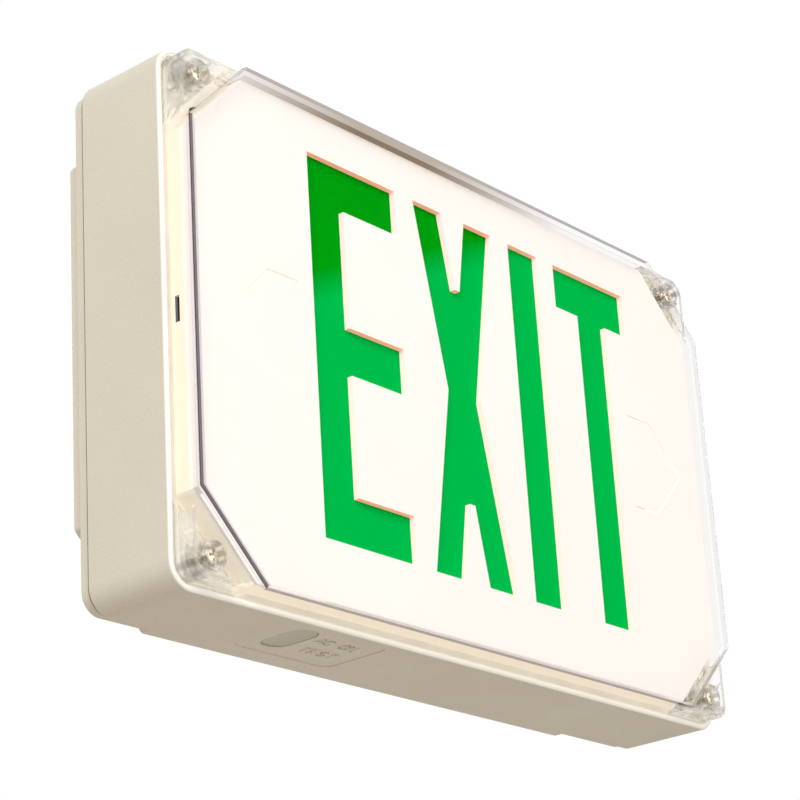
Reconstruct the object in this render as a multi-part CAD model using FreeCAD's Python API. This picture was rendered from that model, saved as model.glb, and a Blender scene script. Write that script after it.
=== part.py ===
"""Emergency exit light: a wall sign with a stencil legend behind a clear vandal shield.

Units are millimetres. X runs to the right, Z up, and the front faces -Y. The wall is the
plane Y = 0, and the origin is the centre of the wire entry in that plane.
"""
import FreeCAD, Part
import os
from math import cos, hypot, pi, sin, sqrt

V = FreeCAD.Vector
FRONT_TO_BACK = V(0, 1, 0)

# ---------------------------------------------------------------- housing frame
HOUSING_WIDTH = 316.4
HOUSING_HEIGHT = 205.2
HOUSING_CORNER = 10.0
FRAME_DEPTH = 39.9
FRAME_WALL = 3.6
RIM_WALL = 2.2
RIM_ROUND = 1.1
RIM_BEAD = 1.0
RIM_BEAD_DROP = 0.5
BACK_EDGE_BEVEL = 0.4
LEDGE_THICK = 1.8
LEDGE_WIDTH = 15.5
LEDGE_CORNER = 4.0
BOSS_RADIUS = 5.0
BOSS_INSET_X = 12.5
BOSS_INSET_Z = 11.3
GUSSET_THICK = 1.6

# ---------------------------------------------------------------- back plate and gaskets
PAN_DEPTH = 8.9
PAN_INSET_X = 7.15
PAN_INSET_Z = 4.1
PAN_CHAMFER_HIGH = 25.0
PAN_CHAMFER_LOW = 31.5
PAN_ROUND = 2.0
PAN_WALL = 2.6
PAN_FLOOR = 2.4
FLANGE_THICK = 4.6
FLANGE_INSET = 1.9
BACK_GASKET_THICK = 0.8
BACK_GASKET_INSET = 0.8
GASKET_LOBE = 18.0
WALL_GASKET_THICK = 1.2
WALL_GASKET_WIDTH = 6.0
WALL_GASKET_INSET = 5.0
FLOOR_RIB_THICK = 1.6
FLOOR_RIB_HEIGHT = 2.6

# ---------------------------------------------------------------- openings for the wall box
WIRE_ENTRY_RADIUS = 11.1
WIRE_COLLAR_WALL = 3.0
WIRE_COLLAR_DEPTH = 7.6
BOX_SCREW_SPACING = 88.9
BOX_HOLE_RADIUS = 2.5

# ---------------------------------------------------------------- clear shield
SHIELD_PROUD = 13.3
SHIELD_GAP = 0.7
SHIELD_WALL = 2.4
SHIELD_PLATE = 2.6
SHIELD_CHAMFER = 30.0
SHIELD_ROUND = 0.9
SKIRT_REACH = 1.6
SHIELD_GASKET_THICK = 1.0
GASKET_SIDE_GAP = 0.3
EAR_DROP = 5.1
EAR_POCKET_DEPTH = 6.0
EAR_WALL = 1.8
EAR_LEDGE = 3.0
EAR_RIB = 1.0
EAR_BOSS_RADIUS = 5.5
EAR_BOSS_PROUD = 0.5
EAR_RING_RADIUS = 7.1
EAR_RING_HEIGHT = 1.0
HEAD_RECESS_RADIUS = 4.2
HEAD_RECESS_DEPTH = 2.8

# ---------------------------------------------------------------- stencil face and diffuser
FACE_SIDE_GAP = 0.6
FACE_BEHIND_PLATE = 2.5
STENCIL_THICK = 2.4
LETTER_HEIGHT = 152.4
LETTER_STROKE = 19.05
LETTER_E_WIDTH = 49.6
LETTER_X_WIDTH = 48.4
LETTER_T_WIDTH = 48.1
LETTER_GAP = 10.9
X_ARM_TOP = 17.0
X_CROTCH_DEPTH = 31.6
X_WAIST_WIDTH = 19.6
X_CROTCH_BLUNT = 3.0
LEGEND_SHIFT_X = 9.4
LEGEND_SHIFT_Z = 3.4
CHEVRON_SHIFT_X = 3.0
CHEVRON_INNER = 101.0
CHEVRON_SHOULDER = 116.8
CHEVRON_TIP = 135.7
CHEVRON_HALF_HEIGHT = 20.2
SCORE_WIDTH = 0.5
SCORE_DEPTH = 0.4
DIFFUSER_THICK = 1.5
DIFFUSER_INSET = 4.0
STAKE_HALF = 1.1
STAKE_INSET_X = 9.0
STAKE_HEIGHT_SHARE = 0.55
STAKE_PROUD = 0.6
LATCH_WIDTH = 10.0
LATCH_THICK = 1.3
LATCH_LENGTH = 5.6
LATCH_HOOK = 0.8
LATCH_HOOK_HEIGHT = 1.3
LATCH_TOP_X = 80.0
RELEASE_WIDTH = 2.1
RELEASE_LENGTH = 10.0
RELEASE_DROP = 1.0
RELEASE_SETBACK = 3.9

# ---------------------------------------------------------------- reflector tray and lamps
TRAY_WALL = 1.6
TRAY_DEPTH = 24.0
TRAY_SIDE_GAP = 0.6
TRAY_SCREW_INSET = 5.5
TRAY_SCREW_Z = 45.0
STRIP_LENGTH = 250.0
STRIP_WIDTH = 9.0
STRIP_THICK = 1.2
LEDS_PER_STRIP = 12
LED_PITCH = 20.0
LED_SIZE = 3.5
LED_HEIGHT = 1.6

# ---------------------------------------------------------------- screws
SCREW_RADIUS = 1.75
SCREW_HEAD_RADIUS = 3.4
SCREW_HEAD_HEIGHT = 2.2
SCREW_LENGTH = 16.0
SCREW_FIT = 0.05
PILOT_SPARE = 0.6
SMALL_SCREW_RADIUS = 1.25
SMALL_HEAD_ACROSS = 4.6
SMALL_HEAD_HEIGHT = 1.8
SMALL_SCREW_LENGTH = 6.0
SMALL_BOSS_RADIUS = 3.2
BOSS_FLOOR = 1.0
HEAD_BEVEL_SHARE = 0.4
DRIVE_DEPTH = 1.1
DRIVE_SLOT = 0.9
DRIVE_REACH = 2.1

# ---------------------------------------------------------------- transformer
TRANSFORMER_SIDE_GAP = 22.4
TRANSFORMER_TOP_GAP = 34.9
CORE_WIDTH = 60.0
CORE_HEIGHT = 50.0
CORE_STACK = 18.0
CORE_LEG = 10.0
CORE_FIT = 0.15
COIL_BULGE = 4.0
COIL_ROUND = 3.0
CORE_HOLE_INSET = 4.6
CORE_LIFT = 7.0

# ---------------------------------------------------------------- battery pack
BATTERY_SIDE_GAP = 10.6
BATTERY_BOTTOM_GAP = 22.9
CELL_COUNT = 4
CELL_RADIUS = 11.2
CELL_LENGTH = 50.0
CELL_LIFT = 4.0
CELL_WEB = 0.6
STRAP_WIDTH = 14.0
STRAP_THICK = 1.0
STRAP_FOOT = 10.0
CRADLE_THICK = 2.0

# ---------------------------------------------------------------- driver board
BOARD_SIDE_GAP = 14.4
BOARD_TOP_GAP = 20.9
BOARD_WIDTH = 104.0
BOARD_HEIGHT = 62.0
BOARD_THICK = 1.6
BOARD_LIFT = 6.0
BOARD_HOLE_INSET = 5.0
CAPACITOR_RADIUS = 6.3
CAPACITOR_LENGTH = 18.0
CAPACITOR_PITCH = 16.0
REGULATOR_WIDTH = 10.2
REGULATOR_HEIGHT = 15.0
REGULATOR_THICK = 4.5
REGULATOR_TAB_THICK = 1.2
REGULATOR_HOLE_RADIUS = 1.6
PLUG_WIDTH = 12.0
PLUG_DEPTH = 6.0
PLUG_HEIGHT = 9.0
PLUG_WALL = 1.0
PLUG_PITCH = 24.0

# ---------------------------------------------------------------- mains terminal block
TERMINAL_X = -22.0
TERMINAL_TOP_GAP = 23.9
TERMINAL_WAYS = 3
TERMINAL_PITCH = 10.0
TERMINAL_HEIGHT = 20.0
TERMINAL_DEPTH = 14.0
TERMINAL_PAD = 3.2
TERMINAL_WELL_HALF = 1.7
TERMINAL_WELL_SHARE = 0.5
TERMINAL_SCREW_SHARE = 0.7

# ---------------------------------------------------------------- test button and pilot lamp
PAD_INSET_X = 75.6
PAD_SETBACK = 17.5
PAD_WIDTH = 12.0
PAD_LENGTH = 23.0
PAD_GAP = 0.4
PAD_SUNK = 0.4
PAD_DISH = 0.5
PAD_FLANGE = 1.2
PAD_FLANGE_THICK = 1.2
PAD_TRAVEL = 1.5
PAD_CLEAR = 0.3
PANEL_LEFT = 13.4
PANEL_RIGHT = 38.1
PANEL_FRONT_SETBACK = 3.2
PANEL_BACK_SETBACK = 34.8
PANEL_CORNER = 5.0
PANEL_DEPTH = 0.3
BUTTON_SPREAD = 5.6
SWITCH_SIZE = 6.2
SWITCH_HEIGHT = 5.2
SWITCH_WALL = 0.7
PLUNGER_RADIUS = 1.75
PLUNGER_FIT = 0.08
PLUNGER_GRIP = 2.7
PILOT_RADIUS = 1.5
PILOT_RIM = 0.4
PILOT_RIM_THICK = 1.0
PILOT_TIP_RADIUS = 0.6
PILOT_LENGTH = 5.3
BUTTON_CLEAR = 0.7
BUTTON_BOARD_WIDTH = 42.0
BUTTON_BOARD_DEPTH = 21.6
BUTTON_BOARD_THICK = 1.6
BUTTON_POST_SPREAD = 17.0

# ---------------------------------------------------------------- planes, from wall to front
Y_WALL = 0.0
Y_PAN_FLOOR = Y_WALL - PAN_FLOOR
Y_FLANGE_BACK = Y_WALL - PAN_DEPTH
Y_FLANGE_FRONT = Y_FLANGE_BACK - FLANGE_THICK
Y_FRAME_BACK = Y_FLANGE_FRONT - BACK_GASKET_THICK
Y_RIM = Y_FRAME_BACK - FRAME_DEPTH
Y_SHIELD_FRONT = Y_RIM - SHIELD_PROUD
Y_SHIELD_PLATE_BACK = Y_SHIELD_FRONT + SHIELD_PLATE
Y_EAR_TOP = Y_SHIELD_FRONT + EAR_DROP
Y_EAR_FLOOR = Y_EAR_TOP + EAR_POCKET_DEPTH
Y_EAR_BACK = Y_RIM
Y_SKIRT_BACK = Y_RIM + SKIRT_REACH
Y_LEDGE_FRONT = Y_SKIRT_BACK + SHIELD_GASKET_THICK
Y_LEDGE_BACK = Y_LEDGE_FRONT + LEDGE_THICK
Y_STENCIL_FRONT = Y_SHIELD_PLATE_BACK + FACE_BEHIND_PLATE
Y_STENCIL_BACK = Y_STENCIL_FRONT + STENCIL_THICK
Y_DIFFUSER_BACK = Y_STENCIL_BACK + DIFFUSER_THICK
Y_TRAY_BACK = Y_STENCIL_BACK + TRAY_DEPTH
Y_TRAY_FLOOR = Y_TRAY_BACK - TRAY_WALL
Y_HEAD_SEAT = Y_EAR_TOP - EAR_BOSS_PROUD + HEAD_RECESS_DEPTH

# half sizes across the front
HALF_W = HOUSING_WIDTH / 2
HALF_H = HOUSING_HEIGHT / 2
RIM_IN_W = HALF_W - RIM_WALL
RIM_IN_H = HALF_H - RIM_WALL
FRAME_IN_W = HALF_W - FRAME_WALL
FRAME_IN_H = HALF_H - FRAME_WALL
LEDGE_IN_W = RIM_IN_W - LEDGE_WIDTH
LEDGE_IN_H = RIM_IN_H - LEDGE_WIDTH
SHIELD_W = RIM_IN_W - SHIELD_GAP
SHIELD_H = RIM_IN_H - SHIELD_GAP
SHIELD_IN_W = SHIELD_W - SHIELD_WALL
SHIELD_IN_H = SHIELD_H - SHIELD_WALL
FACE_W = SHIELD_IN_W - FACE_SIDE_GAP
FACE_H = SHIELD_IN_H - FACE_SIDE_GAP
TRAY_IN_W = FACE_W - TRAY_WALL
TRAY_IN_H = FACE_H - TRAY_WALL
TRAY_PAN_W = LEDGE_IN_W - TRAY_SIDE_GAP
TRAY_PAN_H = LEDGE_IN_H - TRAY_SIDE_GAP
PAN_W = HALF_W - PAN_INSET_X
PAN_H = HALF_H - PAN_INSET_Z
PAN_IN_W = PAN_W - PAN_WALL
PAN_IN_H = PAN_H - PAN_WALL
BOSS_X = HALF_W - BOSS_INSET_X
BOSS_Z = HALF_H - BOSS_INSET_Z
FASTENER_HOLE = SCREW_RADIUS + SCREW_FIT
SMALL_HOLE = SMALL_SCREW_RADIUS + SCREW_FIT
STRAP_OUTER = CELL_COUNT * CELL_RADIUS + STRAP_THICK

# places of the fittings, each held off the pan's or the frame's own edges
TRANSFORMER_X = TRANSFORMER_SIDE_GAP + CORE_WIDTH / 2 - PAN_IN_W
TRANSFORMER_Z = PAN_IN_H - TRANSFORMER_TOP_GAP - CORE_HEIGHT / 2
BATTERY_X = PAN_IN_W - BATTERY_SIDE_GAP - STRAP_OUTER - STRAP_FOOT
BATTERY_Z = BATTERY_BOTTOM_GAP + CELL_LENGTH / 2 - PAN_IN_H
BOARD_X = PAN_IN_W - BOARD_SIDE_GAP - BOARD_WIDTH / 2
BOARD_Z = PAN_IN_H - BOARD_TOP_GAP - BOARD_HEIGHT / 2
TERMINAL_Z = PAN_IN_H - TERMINAL_TOP_GAP - TERMINAL_HEIGHT / 2
PAD_X = PAD_INSET_X - HALF_W


# ---------------------------------------------------------------- shared shapes
def chamfer_inset(chamfer, offset):
    """The chamfer of an octagon whose sides all lie the same distance inside another's."""
    return chamfer - offset * (2 - sqrt(2))


def pan_chamfers(offset):
    """The pan's upper and lower chamfers, taken in by offset."""
    return chamfer_inset(PAN_CHAMFER_HIGH, offset), chamfer_inset(PAN_CHAMFER_LOW, offset)


def shield_chamfers(offset):
    """The shield's chamfers, all alike, taken in by offset."""
    return (chamfer_inset(SHIELD_CHAMFER, offset),) * 2


def octagon(half_w, half_h, chamfers, y_front, y_back):
    """A prism along Y, its outline a rectangle cut at 45 degrees by an upper and a lower chamfer."""
    corners = []
    for sx, sz, upright_first in ((1, 1, False), (-1, 1, True), (-1, -1, False), (1, -1, True)):
        chamfer = chamfers[0] if sz > 0 else chamfers[1]
        upright = V(sx * half_w, y_front, sz * (half_h - chamfer))
        level = V(sx * (half_w - chamfer), y_front, sz * half_h)
        corners += [level, upright] if upright_first else [upright, level]
    return Part.Face(Part.makePolygon(corners + corners[:1])).extrude(V(0, y_back - y_front, 0))


def block(x0, x1, y0, y1, z0, z1):
    return Part.makeBox(x1 - x0, y1 - y0, z1 - z0, V(x0, y0, z0))


def rounded_block(half_w, half_h, radius, y_front, y_back, centre_x=0.0, centre_z=0.0):
    """A prism along Y with a rectangular outline and round corners."""
    body = block(centre_x - half_w, centre_x + half_w, y_front, y_back,
                 centre_z - half_h, centre_z + half_h)
    upright = [edge for edge in body.Edges if abs(edge.tangentAt(edge.FirstParameter).y) > 0.99]
    return body.makeFillet(radius, upright)


def rod(x, z, radius, y_front, y_back):
    return Part.makeCylinder(radius, y_back - y_front, V(x, y_front, z), FRONT_TO_BACK)


def post(x, y, radius, z_low, z_high):
    return Part.makeCylinder(radius, z_high - z_low, V(x, y, z_low), V(0, 0, 1))


def obround(half_x, half_y, centre_x, centre_y, z_low, z_high):
    """An upright prism with straight sides along Y and round ends."""
    reach = half_y - half_x
    body = block(centre_x - half_x, centre_x + half_x, centre_y - reach, centre_y + reach, z_low, z_high)
    ends = [post(centre_x, centre_y + side * reach, half_x, z_low, z_high) for side in (-1, 1)]
    return body.multiFuse(ends).removeSplitter()


def fuse(shapes):
    return shapes[0].multiFuse(shapes[1:]).removeSplitter()


def cut(body, tools):
    return body.cut(Part.makeCompound(tools))


def mirrored(shape):
    """The same shape on the left and on the right."""
    return [shape, shape.mirror(V(0, 0, 0), V(1, 0, 0))]


def corners_xz(x, z):
    return [(sx * x, sz * z) for sx in (-1, 1) for sz in (-1, 1)]


def big_screw():
    """A pan-head housing screw with a cross recess, its seat at the origin, pointing along +Y."""
    bevel = SCREW_HEAD_HEIGHT * HEAD_BEVEL_SHARE
    y_front = -SCREW_HEAD_HEIGHT
    crown = Part.makeCone(SCREW_HEAD_RADIUS - bevel, SCREW_HEAD_RADIUS, bevel,
                          V(0, y_front, 0), FRONT_TO_BACK)
    head = rod(0, 0, SCREW_HEAD_RADIUS, y_front + bevel, 0)
    screw = fuse([crown, head, rod(0, 0, SCREW_RADIUS, 0, SCREW_LENGTH)])
    y_back = DRIVE_DEPTH - SCREW_HEAD_HEIGHT
    reach = DRIVE_REACH
    half = DRIVE_SLOT / 2
    return cut(screw, [block(-reach, reach, y_front, y_back, -half, half),
                       block(-half, half, y_front, y_back, -reach, reach)])


def small_screw(length):
    """A hexagon-head screw for sheet and board, its seat at the origin, pointing along +Y."""
    corner = SMALL_HEAD_ACROSS / sqrt(3)
    points = [V(corner * cos(pi * i / 3), -SMALL_HEAD_HEIGHT, corner * sin(pi * i / 3)) for i in range(7)]
    head = Part.Face(Part.makePolygon(points)).extrude(V(0, SMALL_HEAD_HEIGHT, 0))
    return fuse([head, rod(0, 0, SMALL_SCREW_RADIUS, 0, length)])


def facing_front(screw, x, y_seat, z):
    """Driven from the front: the head's seat at y_seat, the shank going back."""
    placed = screw.copy()
    placed.translate(V(x, y_seat, z))
    return placed


def facing_back(screw, x, y_seat, z):
    """Driven from the back: the shank goes forward."""
    placed = screw.copy()
    placed.rotate(V(0, 0, 0), V(0, 0, 1), 180)
    placed.translate(V(x, y_seat, z))
    return placed


def facing_up(screw, x, y, z_seat):
    """Driven from above: the shank goes down."""
    placed = screw.copy()
    placed.rotate(V(0, 0, 0), V(1, 0, 0), -90)
    placed.translate(V(x, y, z_seat))
    return placed


# ---------------------------------------------------------------- test button places
PAD_Y = Y_RIM + PAD_SETBACK
Z_BOTTOM = -HALF_H
Z_WALL_INSIDE = Z_BOTTOM + FRAME_WALL
Z_PAD_LOW = Z_BOTTOM + PAD_SUNK
Z_PAD_FLANGE = Z_WALL_INSIDE + PAD_CLEAR
Z_PAD_TOP = Z_PAD_FLANGE + PAD_FLANGE_THICK
Z_SWITCH_LOW = Z_PAD_TOP + PAD_TRAVEL + BUTTON_CLEAR
Z_BUTTON_BOARD = Z_SWITCH_LOW + SWITCH_HEIGHT
TEST_Y = PAD_Y + BUTTON_SPREAD
PILOT_Y = PAD_Y - BUTTON_SPREAD
BUTTON_POSTS = [(PAD_X + side * BUTTON_POST_SPREAD, PAD_Y) for side in (-1, 1)]


# ---------------------------------------------------------------- housing frame
def housing_frame():
    """One moulding: a deep rim, an inner ledge, four screw bosses with gussets."""
    body = rounded_block(HALF_W, HALF_H, HOUSING_CORNER, Y_RIM, Y_FRAME_BACK)
    body = body.makeFillet(RIM_ROUND, edges_in_plane(body, Y_RIM))
    body = body.makeChamfer(BACK_EDGE_BEVEL, edges_in_plane(body, Y_FRAME_BACK))
    mouth = rounded_block(RIM_IN_W, RIM_IN_H, HOUSING_CORNER - RIM_WALL, Y_RIM, Y_LEDGE_FRONT)
    bead = rounded_block(RIM_IN_W + RIM_BEAD, RIM_IN_H + RIM_BEAD, HOUSING_CORNER - RIM_WALL + RIM_BEAD,
                         Y_RIM, Y_RIM + RIM_BEAD_DROP)
    window = rounded_block(LEDGE_IN_W, LEDGE_IN_H, LEDGE_CORNER, Y_LEDGE_FRONT, Y_LEDGE_BACK)
    room = rounded_block(FRAME_IN_W, FRAME_IN_H, HOUSING_CORNER - FRAME_WALL, Y_LEDGE_BACK, Y_FRAME_BACK)
    body = cut(body, [mouth, bead, window, room])

    extras = []
    for x, z in corners_xz(BOSS_X, BOSS_Z):
        sx = 1 if x > 0 else -1
        sz = 1 if z > 0 else -1
        extras.append(rod(x, z, BOSS_RADIUS, Y_EAR_BACK, Y_FRAME_BACK))
        reach_x = sorted((x, sx * (FRAME_IN_W + FRAME_WALL / 2)))
        reach_z = sorted((z, sz * (FRAME_IN_H + FRAME_WALL / 2)))
        extras.append(block(reach_x[0], reach_x[1], Y_LEDGE_BACK, Y_FRAME_BACK,
                            z - GUSSET_THICK / 2, z + GUSSET_THICK / 2))
        extras.append(block(x - GUSSET_THICK / 2, x + GUSSET_THICK / 2, Y_LEDGE_BACK, Y_FRAME_BACK,
                            reach_z[0], reach_z[1]))
    for x, z in tray_screw_places():
        extras.append(rod(x, z, SMALL_BOSS_RADIUS,
                          Y_LEDGE_BACK, Y_LEDGE_FRONT + SMALL_SCREW_LENGTH + BOSS_FLOOR))
    for x, y in BUTTON_POSTS:
        extras.append(post(x, y, SMALL_BOSS_RADIUS, Z_WALL_INSIDE, Z_BUTTON_BOARD))
    body = fuse([body] + extras)

    holes = []
    for x, z in corners_xz(BOSS_X, BOSS_Z):
        holes.append(rod(x, z, FASTENER_HOLE, Y_EAR_BACK, Y_HEAD_SEAT + SCREW_LENGTH + PILOT_SPARE))
        holes.append(rod(x, z, FASTENER_HOLE, Y_FLANGE_BACK - SCREW_LENGTH - PILOT_SPARE, Y_FRAME_BACK))
    for x, z in tray_screw_places():
        holes.append(rod(x, z, SMALL_HOLE, Y_LEDGE_FRONT, Y_LEDGE_FRONT + SMALL_SCREW_LENGTH))
    for x, y in BUTTON_POSTS:
        holes.append(post(x, y, SMALL_HOLE, Z_BUTTON_BOARD - SMALL_SCREW_LENGTH, Z_BUTTON_BOARD))
    holes.append(obround(PAD_WIDTH / 2 + PAD_GAP, PAD_LENGTH / 2 + PAD_GAP, PAD_X, PAD_Y,
                         Z_BOTTOM, Z_WALL_INSIDE))
    holes.append(label_recess())
    return cut(body, holes)


def edges_in_plane(body, y):
    """The edges of a body that lie wholly in the plane at y."""
    return [edge for edge in body.Edges
            if abs(edge.BoundBox.YMin - y) < 1e-6 and abs(edge.BoundBox.YMax - y) < 1e-6]


def label_recess():
    """The shallow panel on the underside that frames the button and the pilot lamp."""
    body = block(PAD_X - PANEL_LEFT, PAD_X + PANEL_RIGHT,
                 Y_RIM + PANEL_FRONT_SETBACK, Y_RIM + PANEL_BACK_SETBACK,
                 Z_BOTTOM, Z_BOTTOM + PANEL_DEPTH)
    upright = [edge for edge in body.Edges if abs(edge.tangentAt(edge.FirstParameter).z) > 0.99]
    return body.makeFillet(PANEL_CORNER, upright)


def tray_screw_places():
    x = LEDGE_IN_W + TRAY_SCREW_INSET
    return corners_xz(x, TRAY_SCREW_Z)


# ---------------------------------------------------------------- back plate
def back_plate():
    """A shallow moulded pan: a flange on the frame, a raised octagon on the wall."""
    flange = rounded_block(HALF_W - FLANGE_INSET, HALF_H - FLANGE_INSET, HOUSING_CORNER - FLANGE_INSET,
                           Y_FLANGE_FRONT, Y_FLANGE_BACK)
    pan = octagon(PAN_W, PAN_H, pan_chamfers(0), Y_FLANGE_BACK, Y_WALL)
    upright = [edge for edge in pan.Edges if abs(edge.tangentAt(edge.FirstParameter).y) > 0.99]
    pan = pan.makeFillet(PAN_ROUND, upright)
    body = fuse([flange, pan])
    room = octagon(PAN_IN_W, PAN_IN_H, pan_chamfers(PAN_WALL), Y_FLANGE_FRONT, Y_PAN_FLOOR)
    body = cut(body, [room, wall_gasket()])

    collar = rod(0, 0, WIRE_ENTRY_RADIUS + WIRE_COLLAR_WALL, Y_PAN_FLOOR - WIRE_COLLAR_DEPTH, Y_PAN_FLOOR)
    extras = [collar] + floor_ribs()
    for x, z in transformer_screw_places():
        extras.append(rod(x, z, SMALL_BOSS_RADIUS, Y_PAN_FLOOR - CORE_LIFT, Y_PAN_FLOOR))
    for x, z in board_screw_places():
        extras.append(rod(x, z, SMALL_BOSS_RADIUS, Y_PAN_FLOOR - BOARD_LIFT, Y_PAN_FLOOR))
    for x, z in strap_screw_places():
        extras.append(rod(x, z, SMALL_BOSS_RADIUS, Y_PAN_FLOOR - CELL_LIFT, Y_PAN_FLOOR))
    extras += battery_cradles()
    half_w = TERMINAL_WAYS * TERMINAL_PITCH / 2
    extras.append(block(TERMINAL_X - half_w, TERMINAL_X + half_w, Y_PAN_FLOOR - TERMINAL_PAD, Y_PAN_FLOOR,
                        TERMINAL_Z - TERMINAL_HEIGHT / 2, TERMINAL_Z + TERMINAL_HEIGHT / 2))
    body = fuse([body] + extras)

    holes = [rod(0, 0, WIRE_ENTRY_RADIUS, Y_PAN_FLOOR - WIRE_COLLAR_DEPTH, Y_WALL)]
    holes += [rod(side * BOX_SCREW_SPACING / 2, 0, BOX_HOLE_RADIUS, Y_PAN_FLOOR - FLOOR_RIB_HEIGHT, Y_WALL)
              for side in (-1, 1)]
    for x, z in corners_xz(BOSS_X, BOSS_Z):
        holes.append(rod(x, z, FASTENER_HOLE, Y_FLANGE_FRONT, Y_FLANGE_BACK))
    for x, z in transformer_screw_places():
        holes.append(blind_hole(x, z, CORE_LIFT))
    for x, z in board_screw_places():
        holes.append(blind_hole(x, z, BOARD_LIFT))
    for x, z in strap_screw_places():
        holes.append(blind_hole(x, z, CELL_LIFT))
    for x, z in terminal_screw_places():
        holes.append(blind_hole(x, z, TERMINAL_PAD))
    return cut(body, holes)


def blind_hole(x, z, lift):
    """A pilot hole into a boss of the back plate that stands lift above the pan's floor."""
    mouth = Y_PAN_FLOOR - lift
    return rod(x, z, SMALL_HOLE, mouth, Y_PAN_FLOOR)


def floor_ribs():
    """Low ribs across the pan that stop short of the wire collar and run under the fittings."""
    ribs = []
    half = FLOOR_RIB_THICK / 2
    collar = WIRE_ENTRY_RADIUS + WIRE_COLLAR_WALL / 2
    top = Y_PAN_FLOOR - FLOOR_RIB_HEIGHT
    reach_x = PAN_W - PAN_WALL / 2
    reach_z = PAN_H - PAN_WALL / 2
    for side in (-1, 1):
        x0, x1 = sorted((side * collar, side * reach_x))
        ribs.append(block(x0, x1, top, Y_PAN_FLOOR, -half, half))
        z0, z1 = sorted((side * collar, side * reach_z))
        ribs.append(block(-half, half, top, Y_PAN_FLOOR, z0, z1))
    return ribs


def back_gasket():
    """A flat ring between frame and back plate, with a square lobe round each screw."""
    outer = rounded_block(HALF_W - BACK_GASKET_INSET, HALF_H - BACK_GASKET_INSET,
                          HOUSING_CORNER - BACK_GASKET_INSET, Y_FRAME_BACK, Y_FLANGE_FRONT)
    inner = rounded_block(FRAME_IN_W, FRAME_IN_H, HOUSING_CORNER - FRAME_WALL, Y_FRAME_BACK, Y_FLANGE_FRONT)
    reach_x = HALF_W - BACK_GASKET_INSET - GASKET_LOBE
    reach_z = HALF_H - BACK_GASKET_INSET - GASKET_LOBE
    for x, z in corners_xz(1, 1):
        x0, x1 = sorted((x * reach_x, x * HALF_W))
        z0, z1 = sorted((z * reach_z, z * HALF_H))
        inner = inner.cut(block(x0, x1, Y_FRAME_BACK, Y_FLANGE_FRONT, z0, z1))
    holes = [rod(x, z, FASTENER_HOLE, Y_FRAME_BACK, Y_FLANGE_FRONT) for x, z in corners_xz(BOSS_X, BOSS_Z)]
    return cut(outer, [inner] + holes)


def wall_gasket():
    """A foam ring that fills a groove in the back of the pan."""
    inner_inset = WALL_GASKET_INSET + WALL_GASKET_WIDTH
    outer = octagon(PAN_W - WALL_GASKET_INSET, PAN_H - WALL_GASKET_INSET,
                    pan_chamfers(WALL_GASKET_INSET), Y_WALL - WALL_GASKET_THICK, Y_WALL)
    inner = octagon(PAN_W - inner_inset, PAN_H - inner_inset,
                    pan_chamfers(inner_inset), Y_WALL - WALL_GASKET_THICK, Y_WALL)
    return outer.cut(inner)


# ---------------------------------------------------------------- clear shield and its gasket
def beyond_diagonal(total, y_front, y_back, x_sign, z_sign):
    """The corner region where |x| + |z| is more than total."""
    far = HALF_W + HALF_H
    points = [V(x_sign * (total - far), y_front, z_sign * far), V(x_sign * far, y_front, z_sign * far),
              V(x_sign * far, y_front, z_sign * (total - far))]
    return Part.Face(Part.makePolygon(points + points[:1])).extrude(V(0, y_back - y_front, 0))


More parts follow.
